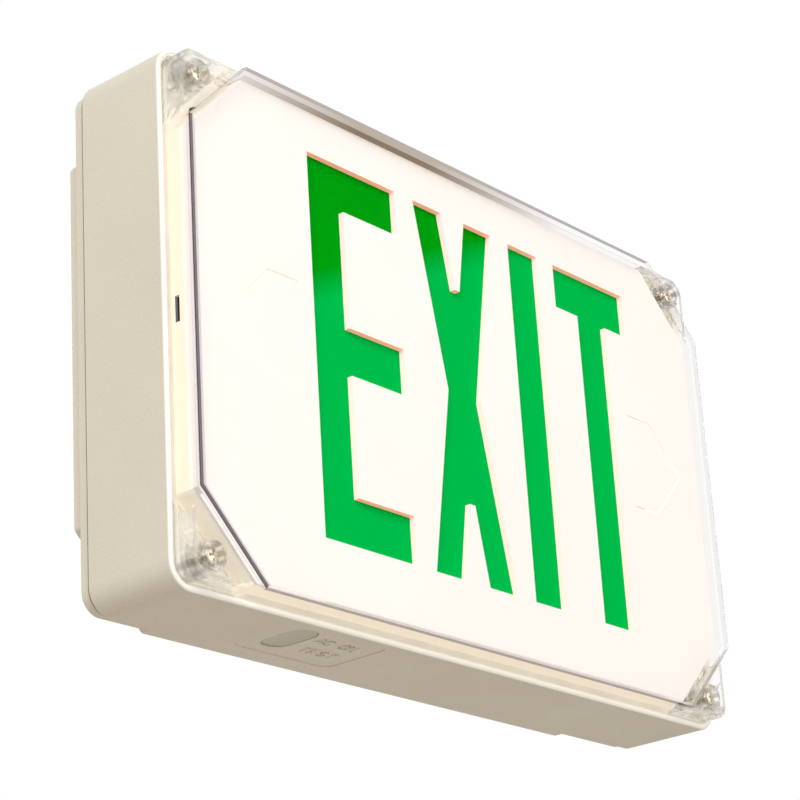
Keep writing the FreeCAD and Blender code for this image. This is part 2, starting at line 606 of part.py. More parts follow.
def clear_shield():
    """One clear moulding: an octagonal window with a screw ear set back in each corner."""
    corner = HOUSING_CORNER - RIM_WALL - SHIELD_GAP
    window = octagon(SHIELD_W, SHIELD_H, shield_chamfers(0), Y_SHIELD_FRONT, Y_SKIRT_BACK)
    window = window.makeFillet(SHIELD_ROUND, edges_in_plane(window, Y_SHIELD_FRONT))
    skirt = rounded_block(SHIELD_W, SHIELD_H, corner, Y_EAR_TOP, Y_SKIRT_BACK)
    body = fuse([window, skirt])
    room = octagon(SHIELD_IN_W, SHIELD_IN_H, shield_chamfers(SHIELD_WALL), Y_SHIELD_PLATE_BACK, Y_SKIRT_BACK)
    under_ears = rounded_block(SHIELD_IN_W, SHIELD_IN_H, corner - SHIELD_WALL, Y_EAR_BACK, Y_SKIRT_BACK)
    hollows = [room, under_ears]

    ear_limit = rounded_block(SHIELD_W - EAR_WALL, SHIELD_H - EAR_WALL, corner - EAR_WALL,
                              Y_EAR_TOP, Y_EAR_FLOOR)
    ledge_line = SHIELD_W + SHIELD_H - SHIELD_CHAMFER + EAR_LEDGE * sqrt(2)
    for sx in (-1, 1):
        for sz in (-1, 1):
            hollows.append(ear_limit.common(beyond_diagonal(ledge_line, Y_EAR_TOP, Y_EAR_FLOOR, sx, sz)))
    body = cut(body, hollows)

    extras = []
    wall_x = SHIELD_W - EAR_WALL / 2
    wall_z = SHIELD_H - EAR_WALL / 2
    y_boss = Y_EAR_TOP - EAR_BOSS_PROUD
    for x, z in corners_xz(BOSS_X, BOSS_Z):
        sx = 1 if x > 0 else -1
        sz = 1 if z > 0 else -1
        extras.append(rod(x, z, EAR_BOSS_RADIUS, y_boss, Y_EAR_FLOOR))
        ring = rod(x, z, EAR_RING_RADIUS, Y_EAR_FLOOR - EAR_RING_HEIGHT, Y_EAR_FLOOR)
        extras.append(ring.common(ear_limit))
        along = (wall_x - abs(x)) * sqrt(2)
        down = (wall_z - abs(z)) * sqrt(2)
        rib = block(-down, along, Y_EAR_TOP, Y_EAR_FLOOR, -EAR_RIB / 2, EAR_RIB / 2)
        rib.rotate(V(0, 0, 0), FRONT_TO_BACK, 45)
        if sx < 0:
            rib = rib.mirror(V(0, 0, 0), V(1, 0, 0))
        if sz < 0:
            rib = rib.mirror(V(0, 0, 0), V(0, 0, 1))
        rib.translate(V(x, 0, z))
        extras.append(rib)
    body = fuse([body] + extras)

    holes = []
    for x, z in corners_xz(BOSS_X, BOSS_Z):
        holes.append(rod(x, z, FASTENER_HOLE, y_boss, Y_EAR_BACK))
        holes.append(rod(x, z, HEAD_RECESS_RADIUS, y_boss, Y_HEAD_SEAT))
    return cut(body, holes)


def shield_gasket():
    """A flat ring on the ledge, squeezed by the shield's skirt."""
    corner = HOUSING_CORNER - RIM_WALL
    outer = rounded_block(RIM_IN_W - GASKET_SIDE_GAP, RIM_IN_H - GASKET_SIDE_GAP, corner - GASKET_SIDE_GAP,
                          Y_SKIRT_BACK, Y_LEDGE_FRONT)
    in_w = SHIELD_IN_W - GASKET_SIDE_GAP
    in_h = SHIELD_IN_H - GASKET_SIDE_GAP
    inner = rounded_block(in_w, in_h, corner - SHIELD_GAP - SHIELD_WALL - GASKET_SIDE_GAP,
                          Y_SKIRT_BACK, Y_LEDGE_FRONT)
    return outer.cut(inner)


# ---------------------------------------------------------------- stencil face
def face_chamfers():
    """The corner cuts of the face, which keep its side gap to the shield's corner walls too."""
    return shield_chamfers(SHIELD_WALL + FACE_SIDE_GAP)


def letter_e(x_left):
    """Stem, two end bars and a middle bar."""
    half = LETTER_HEIGHT / 2
    x_right = x_left + LETTER_E_WIDTH
    bars = [letter_bar(x_left, x_left + LETTER_STROKE, -half, half)]
    bars.append(letter_bar(x_left, x_right, half - LETTER_STROKE, half))
    bars.append(letter_bar(x_left, x_right, -LETTER_STROKE / 2, LETTER_STROKE / 2))
    bars.append(letter_bar(x_left, x_right, -half, LETTER_STROKE - half))
    return fuse(bars)


def letter_x(x_left):
    """Two crossed strokes: blunt crotches above and below, a narrow waist."""
    half_h = LETTER_HEIGHT / 2
    half_w = LETTER_X_WIDTH / 2
    arm = half_w - X_ARM_TOP
    crotch = half_h - X_CROTCH_DEPTH
    blunt = X_CROTCH_BLUNT / 2
    waist = X_WAIST_WIDTH / 2
    centre = x_left + half_w
    quarter = [(blunt, crotch), (arm, half_h), (half_w, half_h), (waist, 0)]
    right = quarter + [(x, -z) for x, z in reversed(quarter[:-1])]
    outline = right + [(-x, z) for x, z in reversed(right)]
    points = [V(centre + x, Y_STENCIL_FRONT, LEGEND_SHIFT_Z + z) for x, z in outline]
    return Part.Face(Part.makePolygon(points + points[:1])).extrude(V(0, STENCIL_THICK, 0))


def letter_i(x_left):
    half = LETTER_HEIGHT / 2
    return letter_bar(x_left, x_left + LETTER_STROKE, -half, half)


def letter_t(x_left):
    half = LETTER_HEIGHT / 2
    middle = x_left + LETTER_T_WIDTH / 2
    top = letter_bar(x_left, x_left + LETTER_T_WIDTH, half - LETTER_STROKE, half)
    return fuse([top, letter_bar(middle - LETTER_STROKE / 2, middle + LETTER_STROKE / 2, -half, half)])


def letter_bar(x0, x1, z0, z1):
    return block(x0, x1, Y_STENCIL_FRONT, Y_STENCIL_BACK, LEGEND_SHIFT_Z + z0, LEGEND_SHIFT_Z + z1)


def legend():
    """The code-required exit legend as through openings, centred on its own width."""
    widths = (LETTER_E_WIDTH, LETTER_X_WIDTH, LETTER_STROKE, LETTER_T_WIDTH)
    x = LEGEND_SHIFT_X - (sum(widths) + LETTER_GAP * (len(widths) - 1)) / 2
    letters = []
    for letter, width in zip((letter_e, letter_x, letter_i, letter_t), widths):
        letters.append(letter(x))
        x += width + LETTER_GAP
    return letters


def score_line(start, end):
    """A shallow groove in the front of the face, between two points (x, z)."""
    run_x = end[0] - start[0]
    run_z = end[1] - start[1]
    length = hypot(run_x, run_z)
    side = V(-run_z, 0, run_x).multiply(SCORE_WIDTH / 2 / length)
    a = V(start[0], Y_STENCIL_FRONT, start[1])
    b = V(end[0], Y_STENCIL_FRONT, end[1])
    outline = Part.makePolygon([a + side, b + side, b - side, a - side, a + side])
    return Part.Face(outline).extrude(V(0, SCORE_DEPTH, 0))


def chevron_scores():
    """Break-out outlines for the direction arrows, left and right."""
    lines = []
    for side in (-1, 1):
        tip = (CHEVRON_SHIFT_X + side * CHEVRON_TIP, LEGEND_SHIFT_Z)
        for up in (-1, 1):
            edge = LEGEND_SHIFT_Z + up * CHEVRON_HALF_HEIGHT
            shoulder = (CHEVRON_SHIFT_X + side * CHEVRON_SHOULDER, edge)
            inner = (CHEVRON_SHIFT_X + side * CHEVRON_INNER, edge)
            lines.append(score_line(tip, shoulder))
            lines.append(score_line(shoulder, inner))
    return lines


def stake_places():
    x = FACE_W - STAKE_INSET_X
    return corners_xz(x, FACE_H * STAKE_HEIGHT_SHARE)


def stake(x, z, half, y_back):
    """A square peg behind the face."""
    return block(x - half, x + half, Y_STENCIL_BACK, y_back, z - half, z + half)


def latch(gap):
    """A hooked leg behind the face's right edge; gap widens it into the room cut for it."""
    y_end = Y_STENCIL_BACK + LATCH_LENGTH
    half = LATCH_WIDTH / 2 + gap
    leg = block(TRAY_IN_W - LATCH_THICK - SCREW_FIT - gap, TRAY_IN_W - SCREW_FIT + gap,
                Y_STENCIL_BACK, y_end + gap, -half, half)
    hook = block(TRAY_IN_W - SCREW_FIT - LATCH_THICK / 2, TRAY_IN_W - SCREW_FIT + LATCH_HOOK + gap,
                 y_end - LATCH_HOOK_HEIGHT - gap, y_end + gap, -half, half)
    return leg.fuse(hook)


def top_latches(gap):
    """The same leg behind the top edge, twice."""
    upright = latch(gap)
    upright.translate(V(-TRAY_IN_W, 0, 0))
    upright.rotate(V(0, 0, 0), FRONT_TO_BACK, -90)
    upright.translate(V(LATCH_TOP_X, 0, TRAY_IN_H))
    return mirrored(upright)


def exit_stencil():
    """The white face: through letters, scored arrows, stakes and hooked legs behind."""
    plate = octagon(FACE_W, FACE_H, face_chamfers(), Y_STENCIL_FRONT, Y_STENCIL_BACK)
    plate = cut(plate, legend() + chevron_scores())
    stakes = [stake(x, z, STAKE_HALF, Y_DIFFUSER_BACK + STAKE_PROUD) for x, z in stake_places()]
    return fuse([plate] + stakes + [latch(0)] + top_latches(0))


def green_diffuser():
    """The green panel behind the openings, held by the face's stakes."""
    half_w = TRAY_IN_W - DIFFUSER_INSET
    half_h = TRAY_IN_H - DIFFUSER_INSET
    chamfers = shield_chamfers(SHIELD_WALL + FACE_SIDE_GAP + TRAY_WALL + DIFFUSER_INSET)
    plate = octagon(half_w, half_h, chamfers, Y_STENCIL_BACK, Y_DIFFUSER_BACK)
    return cut(plate, [stake(x, z, STAKE_HALF + SCREW_FIT, Y_DIFFUSER_BACK) for x, z in stake_places()])


# ---------------------------------------------------------------- reflector tray and lamps
def reflector_tray():
    """An octagonal collar on the ledge and a square pan that drops through it."""
    collar = octagon(FACE_W, FACE_H, face_chamfers(), Y_STENCIL_BACK, Y_LEDGE_FRONT)
    pan = rounded_block(TRAY_PAN_W, TRAY_PAN_H, LEDGE_CORNER, Y_LEDGE_FRONT, Y_TRAY_BACK)
    body = fuse([collar, pan])
    chamfers = shield_chamfers(SHIELD_WALL + FACE_SIDE_GAP + TRAY_WALL)
    collar_room = octagon(TRAY_IN_W, TRAY_IN_H, chamfers, Y_STENCIL_BACK, Y_LEDGE_FRONT - TRAY_WALL)
    pan_room = rounded_block(TRAY_PAN_W - TRAY_WALL, TRAY_PAN_H - TRAY_WALL, LEDGE_CORNER - TRAY_WALL,
                             Y_LEDGE_FRONT - TRAY_WALL, Y_TRAY_FLOOR)
    holes = [rod(x, z, SMALL_HOLE, Y_LEDGE_FRONT - TRAY_WALL, Y_LEDGE_FRONT) for x, z in tray_screw_places()]
    windows = [latch(SCREW_FIT), release_slot()] + top_latches(SCREW_FIT)
    return cut(body, [collar_room, pan_room] + windows + holes)


def release_slot():
    """A slot through the left wall, where a blade reaches behind the face to free it."""
    y_front = Y_STENCIL_BACK + RELEASE_SETBACK
    return block(-FACE_W, -TRAY_IN_W, y_front, y_front + RELEASE_WIDTH,
                 -RELEASE_DROP - RELEASE_LENGTH / 2, RELEASE_LENGTH / 2 - RELEASE_DROP)


def strip_y():
    """The front edge of both lamp strips, midway down the pan."""
    return (Y_LEDGE_FRONT + Y_TRAY_FLOOR) / 2 - STRIP_WIDTH / 2


def led_strip(side):
    """A narrow circuit strip on the pan's upper (+1) or lower (-1) wall."""
    wall = side * (TRAY_PAN_H - TRAY_WALL)
    z0, z1 = sorted((wall, wall - side * STRIP_THICK))
    return block(-STRIP_LENGTH / 2, STRIP_LENGTH / 2, strip_y(), strip_y() + STRIP_WIDTH, z0, z1)


def leds():
    """The lamps of both strips, each its own small solid."""
    lamps = []
    y = strip_y() + STRIP_WIDTH / 2
    half = LED_SIZE / 2
    for side in (-1, 1):
        seat = side * (TRAY_PAN_H - TRAY_WALL - STRIP_THICK)
        tip = seat - side * LED_HEIGHT
        for i in range(LEDS_PER_STRIP):
            x = (i - (LEDS_PER_STRIP - 1) / 2) * LED_PITCH
            z0, z1 = sorted((seat, tip))
            lamps.append(block(x - half, x + half, y - half, y + half, z0, z1))
    return Part.makeCompound(lamps)


def tray_screws():
    return Part.makeCompound([facing_front(small_screw(SMALL_SCREW_LENGTH), x, Y_LEDGE_FRONT - TRAY_WALL, z)
                              for x, z in tray_screw_places()])


# ---------------------------------------------------------------- transformer
def transformer_screw_places():
    x = CORE_WIDTH / 2 - CORE_HOLE_INSET
    z = CORE_HEIGHT / 2 - CORE_HOLE_INSET
    return [(TRANSFORMER_X + dx, TRANSFORMER_Z + dz) for dx, dz in corners_xz(x, z)]


def core_window_width():
    """Each window of the core, between the middle leg of double width and an outer leg."""
    return (CORE_WIDTH - 4 * CORE_LEG) / 2


def transformer_core():
    """Stacked E and I laminations: two windows beside a wide middle leg."""
    y_back = Y_PAN_FLOOR - CORE_LIFT
    y_front = y_back - CORE_STACK
    half_w = CORE_WIDTH / 2
    half_h = CORE_HEIGHT / 2
    body = block(TRANSFORMER_X - half_w, TRANSFORMER_X + half_w, y_front, y_back,
                 TRANSFORMER_Z - half_h, TRANSFORMER_Z + half_h)
    windows = []
    for side in (-1, 1):
        x0, x1 = sorted((side * CORE_LEG, side * (CORE_LEG + core_window_width())))
        windows.append(block(TRANSFORMER_X + x0, TRANSFORMER_X + x1, y_front, y_back,
                             TRANSFORMER_Z - half_h + CORE_LEG, TRANSFORMER_Z + half_h - CORE_LEG))
    holes = [rod(x, z, SMALL_HOLE, y_front, y_back) for x, z in transformer_screw_places()]
    return cut(body, windows + holes)


def transformer_coil():
    """The taped winding round the middle leg, filling both windows."""
    y_back = Y_PAN_FLOOR - CORE_LIFT
    y_front = y_back - CORE_STACK
    half_w = CORE_LEG + core_window_width() - CORE_FIT
    half_h = CORE_HEIGHT / 2 - CORE_LEG - CORE_FIT
    body = block(TRANSFORMER_X - half_w, TRANSFORMER_X + half_w, y_front - COIL_BULGE, y_back + COIL_BULGE,
                 TRANSFORMER_Z - half_h, TRANSFORMER_Z + half_h)
    upright = [edge for edge in body.Edges if abs(edge.tangentAt(edge.FirstParameter).z) > 0.99]
    body = body.makeFillet(COIL_ROUND, upright)
    leg = block(TRANSFORMER_X - CORE_LEG - CORE_FIT, TRANSFORMER_X + CORE_LEG + CORE_FIT,
                y_front - CORE_FIT, y_back + CORE_FIT,
                TRANSFORMER_Z - half_h, TRANSFORMER_Z + half_h)
    return body.cut(leg)


def transformer_screws():
    seat = Y_PAN_FLOOR - CORE_LIFT - CORE_STACK
    length = CORE_STACK + CORE_LIFT
    return Part.makeCompound([facing_front(small_screw(length), x, seat, z)
                              for x, z in transformer_screw_places()])


# ---------------------------------------------------------------- battery pack
def strap_screw_places():
    """One boss on each side of the pack, under the strap's feet."""
    return [(BATTERY_X + side * (STRAP_OUTER + STRAP_FOOT / 2), BATTERY_Z) for side in (-1, 1)]


def battery_y():
    """The cells' centre line."""
    return Y_PAN_FLOOR - CELL_LIFT - CELL_RADIUS


def battery_pack():
    """Four sealed cells side by side in one shrink sleeve."""
    half = CELL_LENGTH / 2
    cells = []
    for i in range(CELL_COUNT):
        x = BATTERY_X + (2 * i - CELL_COUNT + 1) * CELL_RADIUS
        cells.append(post(x, battery_y(), CELL_RADIUS, BATTERY_Z - half, BATTERY_Z + half))
    web_reach = (CELL_COUNT - 1) * CELL_RADIUS
    web_half = CELL_RADIUS * CELL_WEB
    web = block(BATTERY_X - web_reach, BATTERY_X + web_reach, battery_y() - web_half, battery_y() + web_half,
                BATTERY_Z - half, BATTERY_Z + half)
    return fuse(cells + [web])


def battery_cradles():
    """Two ribs on the back plate that the pack lies on, either side of the strap."""
    reach = (CELL_COUNT - 1) * CELL_RADIUS
    ribs = []
    for side in (-1, 1):
        z = BATTERY_Z + side * (CELL_LENGTH / 2 - CRADLE_THICK * 2)
        ribs.append(block(BATTERY_X - reach, BATTERY_X + reach, Y_PAN_FLOOR - CELL_LIFT, Y_PAN_FLOOR,
                          z - CRADLE_THICK / 2, z + CRADLE_THICK / 2))
    return ribs


def battery_strap():
    """A bent steel strap over the pack, screwed down at both feet."""
    front = battery_y() - CELL_RADIUS - STRAP_THICK
    foot_back = Y_PAN_FLOOR - CELL_LIFT
    half = STRAP_WIDTH / 2
    z0 = BATTERY_Z - half
    z1 = BATTERY_Z + half
    over = block(BATTERY_X - STRAP_OUTER, BATTERY_X + STRAP_OUTER, front, foot_back, z0, z1)
    inside = block(BATTERY_X - STRAP_OUTER + STRAP_THICK, BATTERY_X + STRAP_OUTER - STRAP_THICK,
                   front + STRAP_THICK, foot_back, z0, z1)
    feet = []
    for side in (-1, 1):
        x0, x1 = sorted((side * (STRAP_OUTER - STRAP_THICK), side * (STRAP_OUTER + STRAP_FOOT)))
        feet.append(block(BATTERY_X + x0, BATTERY_X + x1, foot_back - STRAP_THICK, foot_back, z0, z1))
    strap = fuse([over.cut(inside)] + feet)
    return cut(strap, [rod(x, z, SMALL_HOLE, foot_back - STRAP_THICK, foot_back)
                       for x, z in strap_screw_places()])


def strap_screws():
    """Short screws, driven through the strap's feet."""
    seat = Y_PAN_FLOOR - CELL_LIFT - STRAP_THICK
    return Part.makeCompound([facing_front(small_screw(CELL_LIFT + STRAP_THICK), x, seat, z)
                              for x, z in strap_screw_places()])


# ---------------------------------------------------------------- driver board
def board_screw_places():
    x = BOARD_WIDTH / 2 - BOARD_HOLE_INSET
    z = BOARD_HEIGHT / 2 - BOARD_HOLE_INSET
    return [(BOARD_X + dx, BOARD_Z + dz) for dx, dz in corners_xz(x, z)]


def board_front():
    return Y_PAN_FLOOR - BOARD_LIFT - BOARD_THICK


def driver_board():
    """The charging and changeover circuit board."""
    half_w = BOARD_WIDTH / 2
    half_h = BOARD_HEIGHT / 2
    body = block(BOARD_X - half_w, BOARD_X + half_w, board_front(), board_front() + BOARD_THICK,
                 BOARD_Z - half_h, BOARD_Z + half_h)
    return cut(body, [rod(x, z, SMALL_HOLE, board_front(), board_front() + BOARD_THICK)
                      for x, z in board_screw_places()])


def board_screws():
    return Part.makeCompound([facing_front(small_screw(BOARD_LIFT + BOARD_THICK), x, board_front(), z)
                              for x, z in board_screw_places()])


def capacitors():
    """Two electrolytic capacitors that stand on the board."""
    cans = []
    z = BOARD_Z + BOARD_HEIGHT / 4
    y_board = board_front()
    for i in range(2):
        x = BOARD_X - BOARD_WIDTH / 4 + i * CAPACITOR_PITCH
        cans.append(rod(x, z, CAPACITOR_RADIUS, y_board - CAPACITOR_LENGTH, y_board))
    return Part.makeCompound(cans)


def regulator():
    """A power transistor standing on the board with its cooling tab."""
    x = BOARD_X + BOARD_WIDTH / 5
    z = BOARD_Z + BOARD_HEIGHT / 5
    half = REGULATOR_WIDTH / 2
    top = board_front() - REGULATOR_HEIGHT
    case = block(x - half, x + half, top, board_front(), z, z + REGULATOR_THICK)
    tab = block(x - half, x + half, top - REGULATOR_THICK, board_front(),
                z + REGULATOR_THICK - REGULATOR_TAB_THICK, z + REGULATOR_THICK)
    hole = post(x, top - REGULATOR_THICK / 2, REGULATOR_HOLE_RADIUS, z, z + REGULATOR_THICK)
    return fuse([case, tab]).cut(hole)


def board_sockets():
    """Plug sockets for the transformer, the battery and the lamp strips."""
    sockets = []
    z = BOARD_Z - BOARD_HEIGHT / 4
    for i in (-1, 0, 1):
        x = BOARD_X + i * PLUG_PITCH
        shell = block(x - PLUG_WIDTH / 2, x + PLUG_WIDTH / 2, board_front() - PLUG_HEIGHT, board_front(),
                      z - PLUG_DEPTH / 2, z + PLUG_DEPTH / 2)
        well = block(x - PLUG_WIDTH / 2 + PLUG_WALL, x + PLUG_WIDTH / 2 - PLUG_WALL,
                     board_front() - PLUG_HEIGHT, board_front() - PLUG_WALL,
                     z - PLUG_DEPTH / 2 + PLUG_WALL, z + PLUG_DEPTH / 2 - PLUG_WALL)
        sockets.append(shell.cut(well))
    return Part.makeCompound(sockets)


# ---------------------------------------------------------------- mains terminal block
def terminal_screw_places():
    """Two fixing screws through the walls between the ways."""
    return [(TERMINAL_X + side * TERMINAL_PITCH / 2, TERMINAL_Z) for side in (-1, 1)]


def terminal_block():
    """A three-way block with a clamp well over each wire hole."""
    half_w = TERMINAL_WAYS * TERMINAL_PITCH / 2
    half_h = TERMINAL_HEIGHT / 2
    y_back = Y_PAN_FLOOR - TERMINAL_PAD
    y_front = y_back - TERMINAL_DEPTH
    body = block(TERMINAL_X - half_w, TERMINAL_X + half_w, y_front, y_back,
                 TERMINAL_Z - half_h, TERMINAL_Z + half_h)
    hollows = []
    for i in range(TERMINAL_WAYS):
        x = TERMINAL_X + (i - (TERMINAL_WAYS - 1) / 2) * TERMINAL_PITCH
        for side in (-1, 1):
            z = TERMINAL_Z + side * half_h / 2
            hollows.append(block(x - TERMINAL_WELL_HALF, x + TERMINAL_WELL_HALF,
                                 y_front, y_front + TERMINAL_DEPTH * TERMINAL_WELL_SHARE,
                                 z - TERMINAL_WELL_HALF, z + TERMINAL_WELL_HALF))
    for x, z in terminal_screw_places():
        head = SMALL_HEAD_ACROSS / sqrt(3) + SCREW_FIT
        hollows.append(block(x - head, x + head, y_front, y_front + TERMINAL_DEPTH * TERMINAL_SCREW_SHARE,
                             z - head, z + head))
        hollows.append(rod(x, z, SMALL_HOLE, y_front, y_back))
    return cut(body, hollows)


def terminal_screws():
    seat = Y_PAN_FLOOR - TERMINAL_PAD - TERMINAL_DEPTH * (1 - TERMINAL_SCREW_SHARE)
    length = TERMINAL_DEPTH * (1 - TERMINAL_SCREW_SHARE) + TERMINAL_PAD
    return Part.makeCompound([facing_front(small_screw(length), x, seat, z)
                              for x, z in terminal_screw_places()])


# ---------------------------------------------------------------- test button
def test_pad():
    """A translucent push pad: dished below, with a flange that keeps it in the frame."""
    body = obround(PAD_WIDTH / 2, PAD_LENGTH / 2, PAD_X, PAD_Y, Z_PAD_LOW, Z_PAD_TOP)
    flange = obround(PAD_WIDTH / 2 + PAD_FLANGE, PAD_LENGTH / 2 + PAD_FLANGE, PAD_X, PAD_Y,
                     Z_PAD_FLANGE, Z_PAD_TOP)
    dish_radius = (PAD_WIDTH / 2) ** 2 / (2 * PAD_DISH) + PAD_DISH / 2
    dish = Part.makeCylinder(dish_radius, PAD_LENGTH, V(PAD_X, PAD_Y - PAD_LENGTH / 2,
                             Z_PAD_LOW + PAD_DISH - dish_radius), FRONT_TO_BACK)
    return body.fuse(flange).removeSplitter().cut(dish)


def test_switch():
    """A small momentary switch on the button board, open below for its plunger."""
    half = SWITCH_SIZE / 2
    body = block(PAD_X - half, PAD_X + half, TEST_Y - half, TEST_Y + half, Z_SWITCH_LOW, Z_BUTTON_BOARD)
    return body.cut(post(PAD_X, TEST_Y, PLUNGER_RADIUS + PLUNGER_FIT, Z_SWITCH_LOW,
                         Z_BUTTON_BOARD - SWITCH_WALL))


def switch_plunger():
    """The switch's plunger, standing on the pad."""
    return post(PAD_X, TEST_Y, PLUNGER_RADIUS, Z_PAD_TOP, Z_SWITCH_LOW + PLUNGER_GRIP)


def ac_on_lamp():
    """A round-nosed pilot lamp beside the switch, shining down through the pad."""
    z_tip = Z_BUTTON_BOARD - PILOT_LENGTH
    z_nose = z_tip + PILOT_RADIUS
    barrel = post(PAD_X, PILOT_Y, PILOT_RADIUS, z_nose, Z_BUTTON_BOARD)
    nose = Part.makeCone(PILOT_TIP_RADIUS, PILOT_RADIUS, PILOT_RADIUS, V(PAD_X, PILOT_Y, z_tip))
    rim = post(PAD_X, PILOT_Y, PILOT_RADIUS + PILOT_RIM, Z_BUTTON_BOARD - PILOT_RIM_THICK, Z_BUTTON_BOARD)
    return fuse([barrel, nose, rim])


def button_board():
    """The small board that carries the switch and the pilot lamp on two posts."""
    half_x = BUTTON_BOARD_WIDTH / 2
    half_y = BUTTON_BOARD_DEPTH / 2
    body = block(PAD_X - half_x, PAD_X + half_x, PAD_Y - half_y, PAD_Y + half_y,
                 Z_BUTTON_BOARD, Z_BUTTON_BOARD + BUTTON_BOARD_THICK)
    return cut(body, [post(x, y, SMALL_HOLE, Z_BUTTON_BOARD, Z_BUTTON_BOARD + BUTTON_BOARD_THICK)
                      for x, y in BUTTON_POSTS])


def button_board_screws():
    seat = Z_BUTTON_BOARD + BUTTON_BOARD_THICK
    return Part.makeCompound([facing_up(small_screw(SMALL_SCREW_LENGTH), x, y, seat)
                              for x, y in BUTTON_POSTS])


# ---------------------------------------------------------------- outer screws
def cover_screws():
    return Part.makeCompound([facing_front(big_screw(), x, Y_HEAD_SEAT, z)
                              for x, z in corners_xz(BOSS_X, BOSS_Z)])


def back_screws():
    return Part.makeCompound([facing_back(big_screw(), x, Y_FLANGE_BACK, z)
                              for x, z in corners_xz(BOSS_X, BOSS_Z)])


# ---------------------------------------------------------------- the whole light
PARTS = {
    "housing_frame": housing_frame,
    "back_plate": back_plate,
    "back_gasket": back_gasket,
    "wall_gasket": wall_gasket,
    "back_screws": back_screws,
    "clear_shield": clear_shield,
    "shield_gasket": shield_gasket,
    "cover_screws": cover_screws,
    "exit_stencil": exit_stencil,
    "green_diffuser": green_diffuser,
    "reflector_tray": reflector_tray,
    "tray_screws": tray_screws,
    "led_strip_upper": lambda: led_strip(1),
    "led_strip_lower": lambda: led_strip(-1),
    "leds": leds,
    "transformer_core": transformer_core,
    "transformer_coil": transformer_coil,
    "transformer_screws": transformer_screws,
    "battery_pack": battery_pack,
    "battery_strap": battery_strap,
    "strap_screws": strap_screws,
    "driver_board": driver_board,
    "board_screws": board_screws,
    "capacitors": capacitors,
    "regulator": regulator,
    "board_sockets": board_sockets,
    "terminal_block": terminal_block,
    "terminal_screws": terminal_screws,
    "test_pad": test_pad,
    "switch_plunger": switch_plunger,
    "test_switch": test_switch,
    "ac_on_lamp": ac_on_lamp,
    "button_board": button_board,
    "button_board_screws": button_board_screws,
}

os.makedirs("parts", exist_ok=True)
for name, make in PARTS.items():
    make().exportStep(f"parts/{name}.step")
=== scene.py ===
"""The looks of the emergency exit light, dressed over its packed construction model."""
import math

import bmesh
import bpy
from mathutils import Matrix, Vector


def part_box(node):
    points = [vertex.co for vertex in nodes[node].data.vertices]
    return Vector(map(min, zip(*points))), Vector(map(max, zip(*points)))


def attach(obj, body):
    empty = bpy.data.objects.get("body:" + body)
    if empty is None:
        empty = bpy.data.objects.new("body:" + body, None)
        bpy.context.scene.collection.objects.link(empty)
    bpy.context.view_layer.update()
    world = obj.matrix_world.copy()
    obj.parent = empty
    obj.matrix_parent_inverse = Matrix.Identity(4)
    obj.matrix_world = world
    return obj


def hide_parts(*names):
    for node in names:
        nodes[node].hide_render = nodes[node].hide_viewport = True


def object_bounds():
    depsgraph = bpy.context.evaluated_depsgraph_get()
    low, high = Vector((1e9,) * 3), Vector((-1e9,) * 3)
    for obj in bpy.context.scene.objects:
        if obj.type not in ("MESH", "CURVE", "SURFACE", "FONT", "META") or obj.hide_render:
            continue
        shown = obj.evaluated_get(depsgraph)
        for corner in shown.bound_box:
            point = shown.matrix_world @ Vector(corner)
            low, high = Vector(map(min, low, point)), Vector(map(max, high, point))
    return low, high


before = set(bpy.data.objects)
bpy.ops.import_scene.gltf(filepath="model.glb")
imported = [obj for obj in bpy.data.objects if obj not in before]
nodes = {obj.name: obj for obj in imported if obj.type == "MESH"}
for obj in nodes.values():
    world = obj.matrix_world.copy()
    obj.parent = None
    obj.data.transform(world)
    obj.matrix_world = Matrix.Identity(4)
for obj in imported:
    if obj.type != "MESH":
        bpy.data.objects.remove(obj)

cad_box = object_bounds()

# ---------------------------------------------------------------- housing frame and back plate
# One beige, ultraviolet-stable polycarbonate for both mouldings, with a fine spark-eroded grain
# from the tool. The frame is a deep ring whose thin front lip is painted paler, painted light for the
# light it carries, with a faint painted glow on its inner side; the shallow back plate closes it
# from behind with four screws and stands it off the wall.


def colour(red, green, blue):
    """A finish's colour, given as it is seen, turned into the light values a shader needs."""
    def linear(level):
        level /= 255
        return level / 12.92 if level <= 0.04045 else ((level + 0.055) / 1.055) ** 2.4
    return (linear(red), linear(green), linear(blue), 1.0)


def new_finish(name, tint, roughness):
    """A plain plastic, rubber or metal finish, ready for its own grain and marks."""
    finish = bpy.data.materials.new(name)
    finish.use_nodes = True
    shader = finish.node_tree.nodes["Principled BSDF"]
    shader.inputs["Base Color"].default_value = tint
    shader.inputs["Roughness"].default_value = roughness
    return finish, finish.node_tree, shader


def body_noise(tree, scale, detail=3.0, roughness=0.55, stretch=(1, 1, 1)):
    """Noise that is fixed in the piece itself, in metres."""
    place = tree.nodes.new("ShaderNodeTexCoord")
    turn = tree.nodes.new("ShaderNodeMapping")
    turn.inputs["Scale"].default_value = stretch
    noise = tree.nodes.new("ShaderNodeTexNoise")
    noise.inputs["Scale"].default_value = scale
    noise.inputs["Detail"].default_value = detail
    noise.inputs["Roughness"].default_value = roughness
    tree.links.new(place.outputs["Object"], turn.inputs["Vector"])
    tree.links.new(turn.outputs["Vector"], noise.inputs["Vector"])
    return noise


def two_tints(tree, fac, dark, light, low=0.3, high=0.7):
    """A colour that goes from one tint to another as fac rises from low to high."""
    ramp = tree.nodes.new("ShaderNodeValToRGB")
    ramp.color_ramp.elements[0].position = low
    ramp.color_ramp.elements[0].color = dark
    ramp.color_ramp.elements[1].position = high
    ramp.color_ramp.elements[1].color = light
    tree.links.new(fac, ramp.inputs["Fac"])
    return ramp.outputs["Color"]


